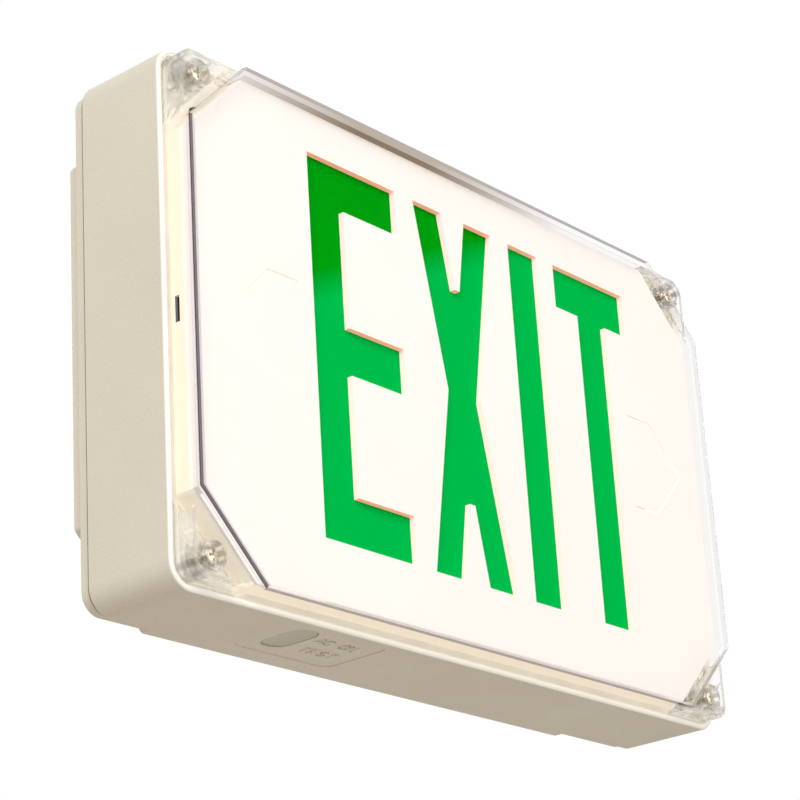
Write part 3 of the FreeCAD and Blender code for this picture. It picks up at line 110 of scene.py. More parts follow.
def vary_tint(tree, shader, noise, dark, light):
    """Lets the noise drift the colour between two close tints."""
    tint = two_tints(tree, noise.outputs["Fac"], dark, light)
    tree.links.new(tint, shader.inputs["Base Color"])


def raise_grain(tree, shader, noise, strength, height, output="Fac"):
    """Lets the noise raise a grain of the given height, in metres."""
    bump = tree.nodes.new("ShaderNodeBump")
    bump.inputs["Strength"].default_value = strength
    bump.inputs["Distance"].default_value = height
    tree.links.new(noise.outputs[output], bump.inputs["Height"])
    tree.links.new(bump.outputs["Normal"], shader.inputs["Normal"])


def vary_gloss(tree, shader, noise, low, high):
    """Lets the noise drift the roughness."""
    span = tree.nodes.new("ShaderNodeMapRange")
    span.inputs["From Min"].default_value = 0.3
    span.inputs["From Max"].default_value = 0.7
    span.inputs["To Min"].default_value = low
    span.inputs["To Max"].default_value = high
    tree.links.new(noise.outputs["Fac"], span.inputs["Value"])
    tree.links.new(span.outputs["Result"], shader.inputs["Roughness"])


def blend_tints(tree, fac, first, second, kind="MIX"):
    """Two colours joined; each, like fac, is a socket or a plain value."""
    mix = tree.nodes.new("ShaderNodeMix")
    mix.data_type = "RGBA"
    mix.blend_type = kind
    for name, value in (("Factor", fac), ("A", first), ("B", second)):
        socket = mix.inputs[name]
        if isinstance(value, bpy.types.NodeSocket):
            tree.links.new(value, socket)
        else:
            socket.default_value = value
    return mix.outputs["Result"]


def maths(tree, operation, *values):
    """One sum of a finish; each value is a socket or a number."""
    step = tree.nodes.new("ShaderNodeMath")
    step.operation = operation
    for socket, value in zip(step.inputs, values):
        if isinstance(value, bpy.types.NodeSocket):
            tree.links.new(value, socket)
        else:
            socket.default_value = value
    return step.outputs[0]


def spot(tree, axis, source="Object"):
    """Where a point lies along one axis of its piece, or how its surface faces along it."""
    place = tree.nodes.new("ShaderNodeTexCoord")
    parts = tree.nodes.new("ShaderNodeSeparateXYZ")
    tree.links.new(place.outputs[source], parts.inputs["Vector"])
    return parts.outputs[axis]


def ramp_up(tree, value, start, end):
    """0 before start and 1 after end."""
    span = tree.nodes.new("ShaderNodeMapRange")
    span.inputs["From Min"].default_value = start
    span.inputs["From Max"].default_value = end
    tree.links.new(value, span.inputs["Value"])
    return span.outputs["Result"]


def along(tree, axis, start, end, source="Object"):
    """0 before start and 1 after end along one axis of the piece, or of its surface's facing."""
    return ramp_up(tree, spot(tree, axis, source), start, end)


def both(tree, first, second):
    """Where two masks both hold."""
    return maths(tree, "MULTIPLY", first, second)


def moulded_plastic(name, dark, light, roughness, grain_scale=900, grain_height=0.00008):
    """A moulded plastic: slow drift of tint, fine grain in the surface."""
    finish, tree, shader = new_finish(name, light, roughness)
    vary_tint(tree, shader, body_noise(tree, 9), dark, light)
    raise_grain(tree, shader, body_noise(tree, grain_scale, detail=2.0), 0.35, grain_height)
    vary_gloss(tree, shader, body_noise(tree, 40), roughness - 0.05, roughness + 0.07)
    return finish


def finish_nodes(finish, *names):
    """Gives construction nodes their finish."""
    for name in names:
        mesh = nodes[name].data
        mesh.materials.clear()
        mesh.materials.append(finish)


def size_of(tree, axis, source="Object"):
    """How far a point lies from the middle along one axis, or how squarely it faces along it."""
    return maths(tree, "ABSOLUTE", spot(tree, axis, source))


CORNER_X, CORNER_Z = 0.1482, 0.0926
LIP_OUTER, LIP_INNER = 0.0091, 0.0088


def inner_side(tree):
    """1 inside the round-cornered mouth of the frame, 0 on its outer sides."""
    across = maths(tree, "MAXIMUM", maths(tree, "SUBTRACT", size_of(tree, "X"), CORNER_X), 0.0)
    upward = maths(tree, "MAXIMUM", maths(tree, "SUBTRACT", size_of(tree, "Z"), CORNER_Z), 0.0)
    square = maths(tree, "ADD", both(tree, across, across), both(tree, upward, upward))
    return ramp_up(tree, maths(tree, "SQRT", square), LIP_OUTER, LIP_INNER)


housing_beige, tree, shader = new_finish("housing_beige", colour(214, 207, 190), 0.6)
drift = two_tints(tree, body_noise(tree, 9).outputs["Fac"],
                  colour(210, 203, 185), colour(218, 211, 195))
speck = two_tints(tree, body_noise(tree, 1100, detail=4.0, roughness=0.8).outputs["Fac"],
                  (0.90, 0.89, 0.88, 1), (1, 1, 1, 1), 0.32, 0.56)
grained = blend_tints(tree, 1.0, drift, speck, "MULTIPLY")
# The front lip, on its face and inside the mouth, is painted paler: painted light.
lip = along(tree, "Y", -0.0505, -0.0517)
front_face = along(tree, "Y", -0.0532, -0.0540)
lip = both(tree, lip, maths(tree, "MAXIMUM", front_face, inner_side(tree)))
tree.links.new(blend_tints(tree, lip, grained, colour(250, 246, 238)), shader.inputs["Base Color"])
# A faint glow on the lip inside the mouth: painted light.
shader.inputs["Emission Color"].default_value = (0.10, 0.10, 0.09, 1)
tree.links.new(both(tree, lip, inner_side(tree)), shader.inputs["Emission Strength"])
raise_grain(tree, shader, body_noise(tree, 1300, detail=2.0), 0.3, 0.00010)
vary_gloss(tree, shader, body_noise(tree, 40), 0.55, 0.68)
finish_nodes(housing_beige, "housing_frame", "back_plate")

# ---------------------------------------------------------------- gaskets
# Flat rings pinched between two mouldings: milky natural silicone under the shield, warm grey
# closed-cell sheet behind the frame, and a soft dark foam strip that meets the wall.
silicone, tree, shader = new_finish("silicone", colour(230, 225, 214), 0.45)
vary_tint(tree, shader, body_noise(tree, 80), colour(224, 218, 206), colour(236, 231, 221))
raise_grain(tree, shader, body_noise(tree, 1400), 0.3, 0.00006)
# A soft glow that lifts the silicone in the gap under the shield: painted light.
shader.inputs["Emission Color"].default_value = (0.20, 0.195, 0.18, 1)
shader.inputs["Emission Strength"].default_value = 1.0
finish_nodes(silicone, "shield_gasket")

sheet_grey, tree, shader = new_finish("sheet_grey", colour(112, 106, 98), 0.85)
vary_tint(tree, shader, body_noise(tree, 60), colour(104, 98, 90), colour(120, 114, 106))
raise_grain(tree, shader, body_noise(tree, 1400), 0.5, 0.0001)
finish_nodes(sheet_grey, "back_gasket")

foam_grey, tree, shader = new_finish("foam_grey", colour(70, 70, 72), 0.95)
cells = tree.nodes.new("ShaderNodeTexVoronoi")
cells.inputs["Scale"].default_value = 1300
place = tree.nodes.new("ShaderNodeTexCoord")
tree.links.new(place.outputs["Object"], cells.inputs["Vector"])
raise_grain(tree, shader, cells, 0.8, 0.0003, "Distance")
vary_tint(tree, shader, body_noise(tree, 200), colour(60, 60, 62), colour(80, 80, 82))
finish_nodes(foam_grey, "wall_gasket")

# ---------------------------------------------------------------- housing screws
# Eight thread-forming steel screws, zinc plated with a faint yellow passivate. Their pan heads
# are domed with a tapered cross recess, cold headed; four hold the shield, four the back plate.


def turned_metal(name, dark, light, roughness):
    """Plated steel: bright, with a faint cloudiness in its plating."""
    finish, tree, shader = new_finish(name, light, roughness)
    shader.inputs["Metallic"].default_value = 1.0
    vary_tint(tree, shader, body_noise(tree, 500), dark, light)
    vary_gloss(tree, shader, body_noise(tree, 900), roughness - 0.06, roughness + 0.1)
    raise_grain(tree, shader, body_noise(tree, 2500), 0.15, 0.00005)
    return finish


def add_piece(name, points, faces, finish, body="housing", smooth=False):
    """A mesh piece that rides on a body and takes the given finish."""
    mesh = bpy.data.meshes.new(name)
    mesh.from_pydata([tuple(point) for point in points], [], faces)
    mesh.materials.append(finish)
    if smooth:
        mesh.shade_smooth()
    piece = bpy.data.objects.new(name, mesh)
    bpy.context.scene.collection.objects.link(piece)
    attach(piece, body)
    return piece


def loose_boxes(node):
    """The lowest and highest corner of each separate solid of a node, in the vertices' order."""
    shape = bmesh.new()
    shape.from_mesh(nodes[node].data)
    bmesh.ops.remove_doubles(shape, verts=shape.verts, dist=1e-6)
    left = set(shape.verts)
    boxes = []
    for first in shape.verts:
        if first not in left:
            continue
        group = {first}
        edge = set(group)
        while edge:
            edge = {link.other_vert(vert) for vert in edge for link in vert.link_edges} - group
            group |= edge
        left -= group
        spots = [nodes[node].matrix_world @ vert.co for vert in group]
        boxes.append((Vector([min(spot[i] for spot in spots) for i in range(3)]),
                      Vector([max(spot[i] for spot in spots) for i in range(3)])))
    shape.free()
    return boxes


def ring_faces(base, rings, sides):
    """Four-sided faces that join each ring of points to the next, from point base on."""
    faces = []
    for ring in range(rings):
        for side in range(sides):
            after = (side + 1) % sides
            low, high = base + ring * sides, base + (ring + 1) * sides
            faces.append((low + side, low + after, high + after, high + side))
    return faces


def thread_rings(radius, length, pitch, sides):
    """A shank pointing along +Z from 0: rings whose radius follows a screw thread."""
    rings_per_turn, root_share = 4, 0.82
    points = []
    rings = int(length / pitch * rings_per_turn)
    for ring in range(rings + 1):
        z = length * ring / rings
        taper = min(1.0, (length - z) / (radius * 1.2) + 0.25)
        for side in range(sides):
            turn = side / sides
            wave = abs(((z / pitch - turn) % 1.0) * 2 - 1)
            reach = radius * taper * (root_share + 0.18 * wave)
            points.append((reach * math.cos(turn * math.tau), reach * math.sin(turn * math.tau), z))
    return points, ring_faces(0, rings, sides) + [[rings * sides + side for side in range(sides)]]


def cross_head(radius, height):
    """A domed head from its seat at 0 up to -height along Z, with a tapered cross recess."""
    sides, rings = 96, 30
    slot_half, slot_reach, core_reach = 0.155, 0.62, 0.34
    points = [(0, 0, -height * 0.42)]
    for ring in range(1, rings + 1):
        share = ring / rings
        for side in range(sides):
            turn = side / sides * math.tau
            x, y = share * math.cos(turn), share * math.sin(turn)
            top = height * math.sqrt(max(0.0, 1 - 0.72 * share ** 4)) - height * 0.06 * share
            across, reach = sorted((abs(x), abs(y)))
            flank = min(1.0, max(0.0, (slot_half - across) / 0.05))
            wall = flank * min(1.0, max(0.0, (slot_reach - reach) / 0.08))
            core = min(1.0, max(0.0, (core_reach - abs(x) - abs(y)) / 0.08))
            depth = height * (0.30 + 0.28 * (1 - share)) * max(wall, core)
            points.append((x * radius, y * radius, depth - top))
    seat = len(points)
    points += [(x, y, 0) for x, y, z in points[-sides:]]
    faces = [(0, 1 + (side + 1) % sides, 1 + side) for side in range(sides)]
    faces += ring_faces(1, rings, sides)
    faces.append([seat + side for side in range(sides)])
    return points, faces


def hexagon_head(radius, height):
    """A hexagon head from its seat at 0 up to -height, its crown turned down to a circle."""
    sides = 24
    rings = ((1.0, 0, False), (1.0, -height * 0.8, False), (0.84, -height, True),
             (0.55, -height, True), (0.45, -height * 0.82, True))
    points = []
    for reach, z, is_round in rings:
        for side in range(sides):
            turn = side / sides * math.tau
            flat = math.cos(math.pi / 6) / math.cos((turn % (math.pi / 3)) - math.pi / 6)
            grow = reach if is_round else reach * flat
            points.append((radius * grow * math.cos(turn), radius * grow * math.sin(turn), z))
    last = len(rings) - 1
    faces = ring_faces(0, last, sides)
    faces.append([last * sides + side for side in range(sides)])
    faces.append(list(reversed(range(sides))))
    return points, faces


def detailed_screws(node, finish, slot, axis, head_height, head, shank_radius, pitch):
    """Redraws each screw of a node, head and thread, inside the room that its solid takes."""
    points, faces = [], []
    for low, high in loose_boxes(node):
        middle = (low + high) / 2
        seat_side = low if axis.dot(Vector((1, 1, 1))) > 0 else high
        start = Vector([middle[i] if abs(axis[i]) < 0.5 else seat_side[i] for i in range(3)])
        start = start + axis * head_height
        length = abs((high - low).dot(axis)) - head_height
        across = [high[i] - low[i] for i in range(3) if abs(axis[i]) < 0.5]
        turn = axis.to_track_quat("Z", "Y").to_matrix()
        shank = thread_rings(shank_radius, length, pitch, 16)
        for part_points, part_faces in (head(max(across) / 2, head_height), shank):
            base = len(points)
            points += [start + turn @ Vector(point) for point in part_points]
            faces += [[base + index for index in face] for face in part_faces]
    piece = add_piece(node + "_detailed", points, faces, finish, smooth=True)
    piece.data.set_sharp_from_angle(angle=math.radians(32))
    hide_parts(node)


yellow_zinc = turned_metal("yellow_zinc", colour(190, 180, 158), colour(226, 219, 202), 0.24)
HOUSING_SCREW = {"head": cross_head, "head_height": 0.0022, "shank_radius": 0.00175, "pitch": 0.0012}
for node, axis in (("cover_screws", Vector((0, 1, 0))), ("back_screws", Vector((0, -1, 0)))):
    detailed_screws(node, yellow_zinc, "housing_screw", axis, **HOUSING_SCREW)

# ---------------------------------------------------------------- small screws inside
# Hexagon-head thread-forming steel screws in bright zinc plate, cold headed, hold the tray, the
# transformer, the battery strap, both circuit boards and the terminal block.
bright_zinc = turned_metal("bright_zinc", colour(176, 178, 182), colour(212, 213, 215), 0.3)
SMALL_SCREW = {"head": hexagon_head, "head_height": 0.0018, "shank_radius": 0.00125, "pitch": 0.0009}
for node in ("tray_screws", "transformer_screws", "strap_screws", "board_screws", "terminal_screws"):
    detailed_screws(node, bright_zinc, "small_screw", Vector((0, 1, 0)), **SMALL_SCREW)
detailed_screws("button_board_screws", bright_zinc, "small_screw", Vector((0, 0, -1)), **SMALL_SCREW)

# ---------------------------------------------------------------- reflector tray and lamps
# A cream moulded tray whose octagonal collar carries the face and whose pan holds two lamp
# strips, white circuit boards with small green lamps that shine across it. The collar's outer
# wall shows through the shield; a painted shade darkens it towards the ledge, where less light
# reaches it, and a faint painted glow lifts it, stronger where it faces down. A near-black painted
# shadow stands for the slot in the tray's left wall.
tray_cream, tree, shader = new_finish("tray_cream", colour(250, 245, 232), 0.5)
drift = two_tints(tree, body_noise(tree, 12).outputs["Fac"],
                  colour(248, 243, 230), colour(252, 248, 238))
# A faint glow on the collar's outer walls, half as strong on the cut corners and stronger where they
# face down: painted light.
shader.inputs["Emission Color"].default_value = (0.15, 0.145, 0.14, 1)
glow_walls = maths(tree, "MAXIMUM", along(tree, "X", 0.1509, 0.1512),
                along(tree, "X", -0.1509, -0.1512))
over_under = maths(tree, "MAXIMUM", along(tree, "Z", 0.0953, 0.0956),
                   along(tree, "Z", -0.0953, -0.0956))
glow_walls = maths(tree, "MAXIMUM", glow_walls, over_under)
sloped = maths(tree, "ADD", size_of(tree, "X"), size_of(tree, "Z"))
corners = maths(tree, "MULTIPLY", ramp_up(tree, sloped, 0.2182, 0.2185), 0.5)
glow_walls = maths(tree, "MAXIMUM", glow_walls, corners)
under = maths(tree, "MULTIPLY", along(tree, "Z", -0.3, -0.6, "Normal"), 0.8)
tree.links.new(both(tree, glow_walls, maths(tree, "ADD", under, 1.0)), shader.inputs["Emission Strength"])
# Nearly black on the left end at mid height, on all but left-facing faces: a painted shadow for the
# slot in the left wall.
slot_shadow = both(tree, both(tree, along(tree, "X", -0.10, -0.11), along(tree, "X", -0.6, -0.4, "Normal")),
              ramp_up(tree, size_of(tree, "Z"), 0.03, 0.02))
# Slightly darker towards the back, near the ledge: painted shade.
deep = blend_tints(tree, along(tree, "Y", -0.0592, -0.0578), (1, 1, 1, 1), colour(247, 240, 230))
drift = blend_tints(tree, 1.0, drift, deep, "MULTIPLY")
drift = blend_tints(tree, slot_shadow, drift, (0.02, 0.014, 0.01, 1))
raise_grain(tree, shader, body_noise(tree, 900, detail=2.0), 0.3, 0.00006)
tree.links.new(drift, shader.inputs["Base Color"])
finish_nodes(tray_cream, "reflector_tray")
strip_white = moulded_plastic("strip_white", colour(228, 230, 226), colour(238, 240, 236), 0.4)
finish_nodes(strip_white, "led_strip_upper", "led_strip_lower")
lamp_lens, tree, shader = new_finish("lamp_lens", colour(206, 226, 190), 0.25)
vary_tint(tree, shader, body_noise(tree, 400), colour(196, 218, 176), colour(226, 236, 214))
finish_nodes(lamp_lens, "leds")

DOME_SIDES, DOME_RINGS, DOME_RADIUS, DOME_HEIGHT = 16, 5, 0.0013, 0.0009
points, faces = [], []
for low, high in loose_boxes("leds"):
    middle = (low + high) / 2
    inward = -1 if middle.z > 0 else 1
    tip = low.z if inward < 0 else high.z
    base = len(points)
    for ring in range(DOME_RINGS):
        bend = ring / DOME_RINGS * math.pi / 2
        for side in range(DOME_SIDES):
            turn = side / DOME_SIDES * math.tau
            points.append((middle.x + DOME_RADIUS * math.cos(bend) * math.cos(turn),
                           middle.y + DOME_RADIUS * math.cos(bend) * math.sin(turn),
                           tip + inward * DOME_HEIGHT * math.sin(bend)))
    points.append((middle.x, middle.y, tip + inward * DOME_HEIGHT))
    faces += ring_faces(base, DOME_RINGS - 1, DOME_SIDES)
    top = base + (DOME_RINGS - 1) * DOME_SIDES
    faces += [(top + side, top + (side + 1) % DOME_SIDES, len(points) - 1)
              for side in range(DOME_SIDES)]
add_piece("led_domes", points, faces, lamp_lens, smooth=True)

# ---------------------------------------------------------------- face and diffuser
# The face is satin white sheet with the legend routed through it and arrows scored for breaking
# out. The routed walls are tinted a warm peach and given a peach glow, which is painted light;
# the walls that face down are deeper orange with a redder glow, painted shade and painted light.
# The scored grooves glow grey on their lower halves and faintly above, painted light that
# washes out their shade. Behind them lies a green panel, painted deeper in tone above as painted
# shade, where the upper lamp strip is hidden by the face.
face_white, tree, shader = new_finish("face_white", colour(254, 251, 246), 0.45)
plain = two_tints(tree, body_noise(tree, 14).outputs["Fac"],
                  colour(250, 246, 245), colour(253, 250, 248))
upright = both(tree, along(tree, "Y", -0.6, -0.3, "Normal"), along(tree, "Y", 0.6, 0.3, "Normal"))
inside_x = both(tree, along(tree, "X", -0.093, -0.092), along(tree, "X", 0.1115, 0.1105))
inside_z = both(tree, along(tree, "Z", -0.085, -0.083), along(tree, "Z", 0.089, 0.087))
clear_of_score = maths(tree, "MAXIMUM", along(tree, "X", 0.104, 0.103),
                       along(tree, "Z", 0.048, 0.050))
routed = both(tree, both(tree, upright, clear_of_score), both(tree, inside_x, inside_z))
# The walls that face down are painted a deeper orange: painted shade.
shaded_overhead = both(tree, routed, along(tree, "Z", -0.4, -0.8, "Normal"))
walled = blend_tints(tree, routed, plain, colour(253, 232, 216))
tree.links.new(blend_tints(tree, shaded_overhead, walled, colour(247, 186, 158)), shader.inputs["Base Color"])
# A peach glow on the routed walls, redder where they face down: painted light.
glow = blend_tints(tree, shaded_overhead, (0.40, 0.20, 0.33, 1), (0.48, 0.16, 0.13, 1))
beside = maths(tree, "MAXIMUM", along(tree, "X", -0.092, -0.094),
               along(tree, "X", 0.1110, 0.1120))
scored = both(tree, both(tree, beside, along(tree, "Y", -0.06235, -0.06228)),
              both(tree, along(tree, "Y", -0.0610, -0.0615),
                   ramp_up(tree, size_of(tree, "X"), 0.1505, 0.1500)))
# The scored grooves glow grey on their lower halves and faintly above: painted light.
score_glow = blend_tints(tree, along(tree, "Z", 0.004, 0.012), (0.48, 0.47, 0.45, 1), (0.07, 0.05, 0.0, 1))
glow = blend_tints(tree, routed, blend_tints(tree, scored, (0, 0, 0, 1), score_glow), glow)
tree.links.new(glow, shader.inputs["Emission Color"])
shader.inputs["Emission Strength"].default_value = 1.0
raise_grain(tree, shader, body_noise(tree, 1200, detail=2.0), 0.3, 0.00003)
finish_nodes(face_white, "exit_stencil")

diffuser_green, tree, shader = new_finish("diffuser_green", colour(0, 170, 60), 0.6)
shader.inputs["Specular IOR Level"].default_value = 0.0
# Deeper green towards the top, on a slant: painted shade.
slope = maths(tree, "SUBTRACT", spot(tree, "Z"), maths(tree, "MULTIPLY", spot(tree, "X"), 0.45))
upper_shade = ramp_up(tree, slope, 0.0585, 0.0710)
greens = two_tints(tree, upper_shade, colour(0, 184, 76), colour(0, 155, 14), 0.0, 1.0)
tree.links.new(greens, shader.inputs["Base Color"])
raise_grain(tree, shader, body_noise(tree, 1500), 0.2, 0.00003)
finish_nodes(diffuser_green, "green_diffuser")

# ---------------------------------------------------------------- clear shield
# One thick injection moulding in clear polycarbonate, held by a screw through each ear. It hardly
# shows across its front; its edges and thick ears catch grey and milky lines where light runs
# along the wall, which tints set by each surface's place and facing stand for.
clear_shell, tree, shader = new_finish("clear_shell", (0.99, 0.985, 0.98, 1), 0.02)
shader.inputs["Transmission Weight"].default_value = 1.0
shader.inputs["IOR"].default_value = 1.34
shader.inputs["Specular Tint"].default_value = (0.7, 0.68, 0.7, 1)
slanted = maths(tree, "ADD", size_of(tree, "X", "Normal"), size_of(tree, "Z", "Normal"))
squarest = maths(tree, "MAXIMUM", size_of(tree, "X", "Normal"), size_of(tree, "Z", "Normal"))
squarest = maths(tree, "MAXIMUM", squarest, size_of(tree, "Y", "Normal"))
squarest = maths(tree, "MAXIMUM", squarest, maths(tree, "MULTIPLY", slanted, 0.7071))
level = ramp_up(tree, squarest, 0.97, 0.995)
ears = ramp_up(tree, maths(tree, "ADD", size_of(tree, "X"), size_of(tree, "Z")), 0.2256, 0.2262)
raise_grain(tree, shader, body_noise(tree, 30, detail=1.0), 0.04, 0.0004)

# The tints below are painted light: grey, violet, brown and near-black lines of painted shade and
# painted reflection on the wall's edges, its left side, the margin by the face, the wall above the face
# and the ears' rounds.
edge_on = both(tree, along(tree, "Y", -0.0646, -0.0650),
               ramp_up(tree, size_of(tree, "Y", "Normal"), 0.98, 0.90))
dark_line = both(tree, along(tree, "Y", -0.0661, -0.0665),
                 along(tree, "Y", -0.98, -0.93, "Normal"))
clear = (0.985, 0.98, 0.97, 1)
right = blend_tints(tree, along(tree, "X", 0.3, 0.6, "Normal"),
                    (0.80, 0.77, 0.78, 1), (0.62, 0.58, 0.64, 1))
above = blend_tints(tree, along(tree, "Z", 0.8, 0.95, "Normal"), right, (0.70, 0.64, 0.58, 1))
below = blend_tints(tree, along(tree, "Z", -0.8, -0.95, "Normal"), above, (0.50, 0.45, 0.48, 1))
leftward = blend_tints(tree, along(tree, "Z", 0.3, 0.5, "Normal"),
                       (0.90, 0.88, 0.91, 1), (0.70, 0.66, 0.72, 1))
left = blend_tints(tree, along(tree, "X", -0.3, -0.6, "Normal"), below, leftward)
left_side = both(tree, both(tree, dark_line, along(tree, "X", -0.1, -0.2, "Normal")),
                 both(tree, along(tree, "X", 0.0, -0.01), along(tree, "Z", 0.3, 0.1, "Normal")))
edges = blend_tints(tree, edge_on, clear, left)
outline = maths(tree, "ADD", size_of(tree, "X"), size_of(tree, "Z"))
outline = maths(tree, "SUBTRACT", outline, 0.2229)
outline = maths(tree, "MAXIMUM", outline, maths(tree, "SUBTRACT", size_of(tree, "X"), 0.1535))
margin = both(tree, ramp_up(tree, outline, 0.0, 0.0003), along(tree, "Y", -0.90, -0.98, "Normal"))
margin = both(tree, both(tree, margin, along(tree, "Y", -0.0670, -0.0673)),
              along(tree, "Z", 0.070, 0.066))
margin = both(tree, margin, along(tree, "X", 0.0, -0.01))
edges = blend_tints(tree, margin, edges, (0.74, 0.70, 0.76, 1))
top_side = both(tree, both(tree, along(tree, "Z", 0.0965, 0.0970),
                           along(tree, "Z", -0.8, -0.95, "Normal")),
                both(tree, along(tree, "X", -0.145, -0.06), along(tree, "X", 0.07, -0.02)))
edges = blend_tints(tree, top_side, edges, (0.52, 0.45, 0.39, 1))
edges = blend_tints(tree, left_side, edges, (0.07, 0.055, 0.065, 1))
edges = blend_tints(tree, ears, edges, blend_tints(tree, level, (0.70, 0.67, 0.68, 1), clear))
tree.links.new(edges, shader.inputs["Base Color"])
through = tree.nodes.new("ShaderNodeBsdfTransparent")
tree.links.new(edges, through.inputs["Color"])
plain_wall = maths(tree, "SUBTRACT", 1.0, maths(tree, "MULTIPLY", ears, 0.6))
mixed = tree.nodes.new("ShaderNodeMixShader")
tree.links.new(maths(tree, "MAXIMUM", both(tree, level, plain_wall), 0.35), mixed.inputs["Fac"])
tree.links.new(shader.outputs["BSDF"], mixed.inputs[1])
tree.links.new(through.outputs["BSDF"], mixed.inputs[2])
tree.links.new(mixed.outputs["Shader"], tree.nodes["Material Output"].inputs["Surface"])
finish_nodes(clear_shell, "clear_shield")

# ---------------------------------------------------------------- transformer
# A stack of stamped steel laminations, dipped in varnish, round a winding wrapped in yellow
# tape. Four screws hold the core to posts on the back plate.
core_varnish, tree, shader = new_finish("core_varnish", colour(74, 72, 70), 0.5)
shader.inputs["Metallic"].default_value = 0.6
layers = body_noise(tree, 60, stretch=(0.2, 40, 0.2))
vary_tint(tree, shader, layers, colour(50, 48, 46), colour(100, 96, 90))
raise_grain(tree, shader, layers, 0.6, 0.0002)
finish_nodes(core_varnish, "transformer_core")
winding_tape, tree, shader = new_finish("winding_tape", colour(224, 190, 84), 0.35)
wraps = body_noise(tree, 40, stretch=(1, 1, 8))
vary_tint(tree, shader, wraps, colour(210, 172, 66), colour(232, 202, 100))
raise_grain(tree, shader, wraps, 0.4, 0.0002)
finish_nodes(winding_tape, "transformer_coil")

# ---------------------------------------------------------------- battery pack
# Four sealed cells in a blue shrink sleeve that folds over their steel ends, held down by a
# bent strip of galvanised steel.
shrink_blue, tree, shader = new_finish("shrink_blue", colour(40, 84, 150), 0.3)
vary_tint(tree, shader, body_noise(tree, 50), colour(34, 74, 138), colour(48, 94, 160))
raise_grain(tree, shader, body_noise(tree, 120, stretch=(1, 1, 0.3)), 0.3, 0.0003)
finish_nodes(shrink_blue, "battery_pack")
strap_zinc = turned_metal("strap_zinc", colour(160, 164, 168), colour(200, 203, 206), 0.38)
finish_nodes(strap_zinc, "battery_strap")

low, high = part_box("battery_pack")
CELLS, CAP_SIDES = 4, 32
CAP_RINGS = ((0.80, 0.0), (0.80, 0.0004), (0.34, 0.0004), (0.32, 0.0009), (0.0, 0.0009))
cell = (high[0] - low[0]) / (2 * CELLS)
points, faces = [], []
for i in range(CELLS):
    centre = (low[0] + cell * (2 * i + 1), (low[1] + high[1]) / 2)
    for z, out in ((low[2], -1), (high[2], 1)):
        base = len(points)
        for reach, lift in CAP_RINGS:
            for side in range(CAP_SIDES):
                turn = side / CAP_SIDES * math.tau
                points.append((centre[0] + cell * reach * math.cos(turn),
                               centre[1] + cell * reach * math.sin(turn), z + out * lift))
        faces += ring_faces(base, len(CAP_RINGS) - 1, CAP_SIDES)
add_piece("battery_cell_ends", points, faces, bright_zinc)

# ---------------------------------------------------------------- circuit boards
# Glass-fibre boards under green solder mask, with a black-sleeved pair of capacitors, a
# moulded transistor and natural nylon sockets; the black terminal block is moulded phenolic.
board_green = moulded_plastic("board_green", colour(22, 92, 52), colour(30, 108, 62), 0.32, 600, 0.0001)
finish_nodes(board_green, "driver_board", "button_board")
sleeve_black = moulded_plastic("sleeve_black", colour(24, 24, 30), colour(34, 34, 42), 0.3)
finish_nodes(sleeve_black, "capacitors")
epoxy_black = moulded_plastic("epoxy_black", colour(30, 30, 30), colour(42, 42, 42), 0.6)
finish_nodes(epoxy_black, "regulator", "terminal_block", "test_switch", "switch_plunger")
nylon_natural = moulded_plastic("nylon_natural", colour(232, 226, 208), colour(242, 238, 224), 0.45)
finish_nodes(nylon_natural, "board_sockets")

# ---------------------------------------------------------------- test panel
# A soft, slightly translucent silicone pad in the underside, over the switch and the pilot
# lamp; two short generic labels beside it are moulded a hair proud of the sunk panel.
pad_beige = moulded_plastic("pad_beige", colour(182, 172, 152), colour(192, 183, 164), 0.5)
finish_nodes(pad_beige, "test_pad")
pilot_green, tree, shader = new_finish("pilot_green", colour(20, 170, 70), 0.2)
vary_tint(tree, shader, body_noise(tree, 300), colour(16, 160, 62), colour(30, 182, 80))
finish_nodes(pilot_green, "ac_on_lamp")

STROKES = {
    "A": [[(0, 0), (0.36, 1), (0.72, 0)], [(0.14, 0.34), (0.58, 0.34)]],
    "C": [[(0.7, 0.84), (0.52, 1), (0.2, 1), (0, 0.78), (0, 0.22), (0.2, 0), (0.52, 0),
           (0.7, 0.16)]],
    "O": [[(0.2, 0), (0, 0.22), (0, 0.78), (0.2, 1), (0.52, 1), (0.72, 0.78), (0.72, 0.22),
           (0.52, 0), (0.2, 0)]],
    "N": [[(0, 0), (0, 1), (0.66, 0), (0.66, 1)]],
    "T": [[(0, 1), (0.7, 1)], [(0.35, 1), (0.35, 0)]],
    "E": [[(0.6, 1), (0, 1), (0, 0), (0.6, 0)], [(0, 0.52), (0.52, 0.52)]],
    "S": [[(0.64, 0.86), (0.46, 1), (0.18, 1), (0, 0.82), (0.06, 0.58), (0.58, 0.42), (0.64, 0.18),
           (0.46, 0), (0.18, 0), (0, 0.14)]],
}


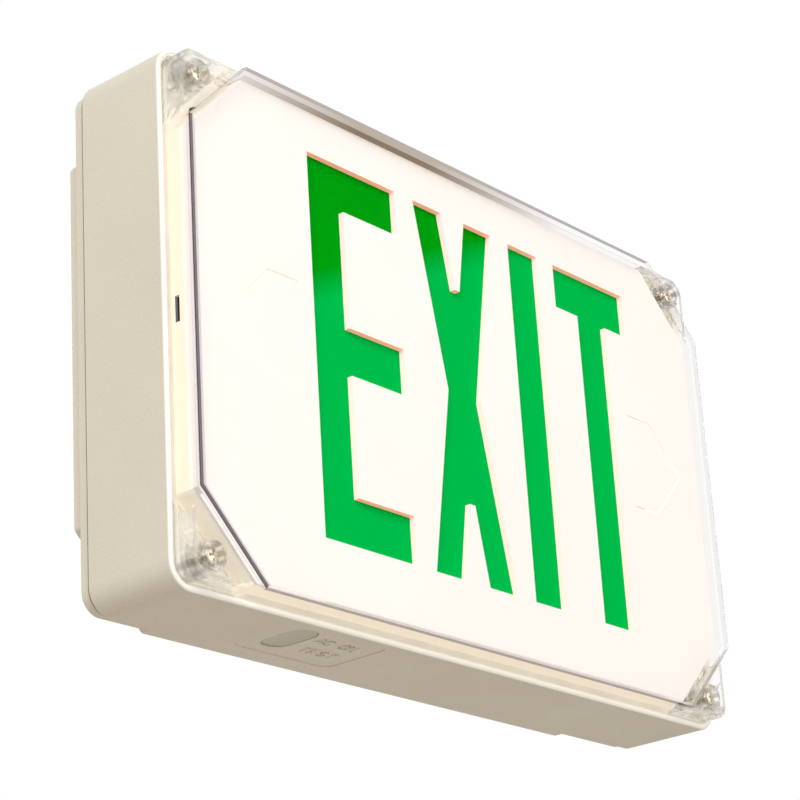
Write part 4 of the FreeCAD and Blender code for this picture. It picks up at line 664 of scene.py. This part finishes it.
def raised_words(name, text, x_left, y_foot, height, pitch, z_low, z_high):
    """Block letters of even stroke under the housing, read from below with their tops forward."""
    stroke_half_share = 0.085
    points, faces = [], []
    half = stroke_half_share * height
    x = x_left
    for letter in text:
        for stroke in STROKES.get(letter, []):
            spots = [Vector((x + u * height, y_foot - v * height)) for u, v in stroke]
            for start, end in zip(spots, spots[1:]):
                run = (end - start).normalized()
                side = Vector((-run.y, run.x)) * half
                start, end = start - run * half, end + run * half
                base = len(points)
                for z, grow in ((z_high, 1.0), (z_low, 0.8)):
                    points += [(*(start - side * grow), z), (*(end - side * grow), z),
                               (*(end + side * grow), z), (*(start + side * grow), z)]
                faces += [[base + i for i in face] for face in
                          ((4, 5, 6, 7), (0, 1, 5, 4), (1, 2, 6, 5), (2, 3, 7, 6), (3, 0, 4, 7))]
        x += height * pitch
    add_piece(name, points, faces, housing_beige)


low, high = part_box("housing_frame")
word_tips, word_roots = low[2] + 0.00002, low[2] + 0.0004
raised_words("label_lamp", "AC ON", -0.0730, -0.0397, 0.0042, 0.98, word_tips, word_roots)
raised_words("label_test", "TEST", -0.0700, -0.0288, 0.0044, 1.06, word_tips, word_roots)

# ---------------------------------------------------------------- studio
# Not part of the object: a pale warm floor far below it, a soft key lamp and a soft fill lamp,
# and an even pale surround.
FLOOR_DROP, FLOOR_HALF, FLOOR_WARM = 1.1, 6, (0.72, 0.66, 0.58, 1)
floor_mesh = bpy.data.meshes.new("studio_floor")
floor_z = cad_box[0][2] - FLOOR_DROP
floor_corners = [(x * FLOOR_HALF, y * FLOOR_HALF, floor_z)
                 for x, y in ((-1, -1), (1, -1), (1, 1), (-1, 1))]
floor_mesh.from_pydata(floor_corners, [], [(0, 1, 2, 3)])
floor = bpy.data.objects.new("studio_floor", floor_mesh)
bpy.context.scene.collection.objects.link(floor)
floor_pale, tree, shader = new_finish("floor_pale", FLOOR_WARM, 0.9)
floor_mesh.materials.append(floor_pale)
backdrop = tree.nodes.new("ShaderNodeEmission")
ray = tree.nodes.new("ShaderNodeLightPath")
floor_tint = blend_tints(tree, ray.outputs["Is Camera Ray"], FLOOR_WARM, (0.96, 0.95, 0.93, 1))
tree.links.new(floor_tint, shader.inputs["Base Color"])
shown = tree.nodes.new("ShaderNodeMixShader")
mirrored = maths(tree, "MAXIMUM", ray.outputs["Is Glossy Ray"], ray.outputs["Is Transmission Ray"])
tree.links.new(mirrored, shown.inputs["Fac"])
tree.links.new(shader.outputs["BSDF"], shown.inputs[1])
tree.links.new(backdrop.outputs["Emission"], shown.inputs[2])
tree.links.new(shown.outputs["Shader"], tree.nodes["Material Output"].inputs["Surface"])

camera_data = bpy.data.cameras.new("camera")
camera_data.sensor_width = 36
camera_data.lens = 114.65
camera_data.clip_end = 100
camera = bpy.data.objects.new("camera", camera_data)
bpy.context.scene.collection.objects.link(camera)
right = Vector((0.65526, -0.75315, -0.05831))
up = Vector((-0.24568, -0.28547, 0.92636))
back = Vector((-0.71434, -0.59268, -0.37209))
camera.matrix_world = Matrix((
    (right.x, up.x, back.x, -0.72308),
    (right.y, up.y, back.y, -0.62577),
    (right.z, up.z, back.z, -0.36236),
    (0, 0, 0, 1)))
bpy.context.scene.camera = camera


def soft_lamp(name, place, aim, size, watts):
    """A square soft box aimed at a point."""
    data = bpy.data.lights.new(name, "AREA")
    data.size = size
    data.energy = watts
    lamp = bpy.data.objects.new(name, data)
    lamp.location = place
    lamp.rotation_euler = (Vector(aim) - Vector(place)).to_track_quat("-Z", "Y").to_euler()
    bpy.context.scene.collection.objects.link(lamp)


soft_lamp("key", (-1.7, -1.3, 1.0), (0, 0, 0), 1.4, 36)
soft_lamp("fill", (0.8, -2.2, 0.4), (0, 0, 0), 1.6, 13)

world = bpy.data.worlds.new("surround")
bpy.context.scene.world = world
world.use_nodes = True
wtree = world.node_tree
sky = wtree.nodes["Background"]
sky.inputs["Color"].default_value = (1, 1, 1, 1)
sky.inputs["Strength"].default_value = 0.61
seen = wtree.nodes.new("ShaderNodeBackground")
seen.inputs["Color"].default_value = (1, 1, 1, 1)
seen.inputs["Strength"].default_value = 1.0
ray = wtree.nodes.new("ShaderNodeLightPath")
shown = maths(wtree, "MAXIMUM", ray.outputs["Is Camera Ray"], ray.outputs["Is Glossy Ray"])
shown = maths(wtree, "MAXIMUM", shown, ray.outputs["Is Transmission Ray"])
mix = wtree.nodes.new("ShaderNodeMixShader")
wtree.links.new(shown, mix.inputs["Fac"])
wtree.links.new(sky.outputs[0], mix.inputs[1])
wtree.links.new(seen.outputs[0], mix.inputs[2])
wtree.links.new(mix.outputs[0], wtree.nodes["World Output"].inputs["Surface"])
bpy.context.scene.view_settings.view_transform = "Standard"
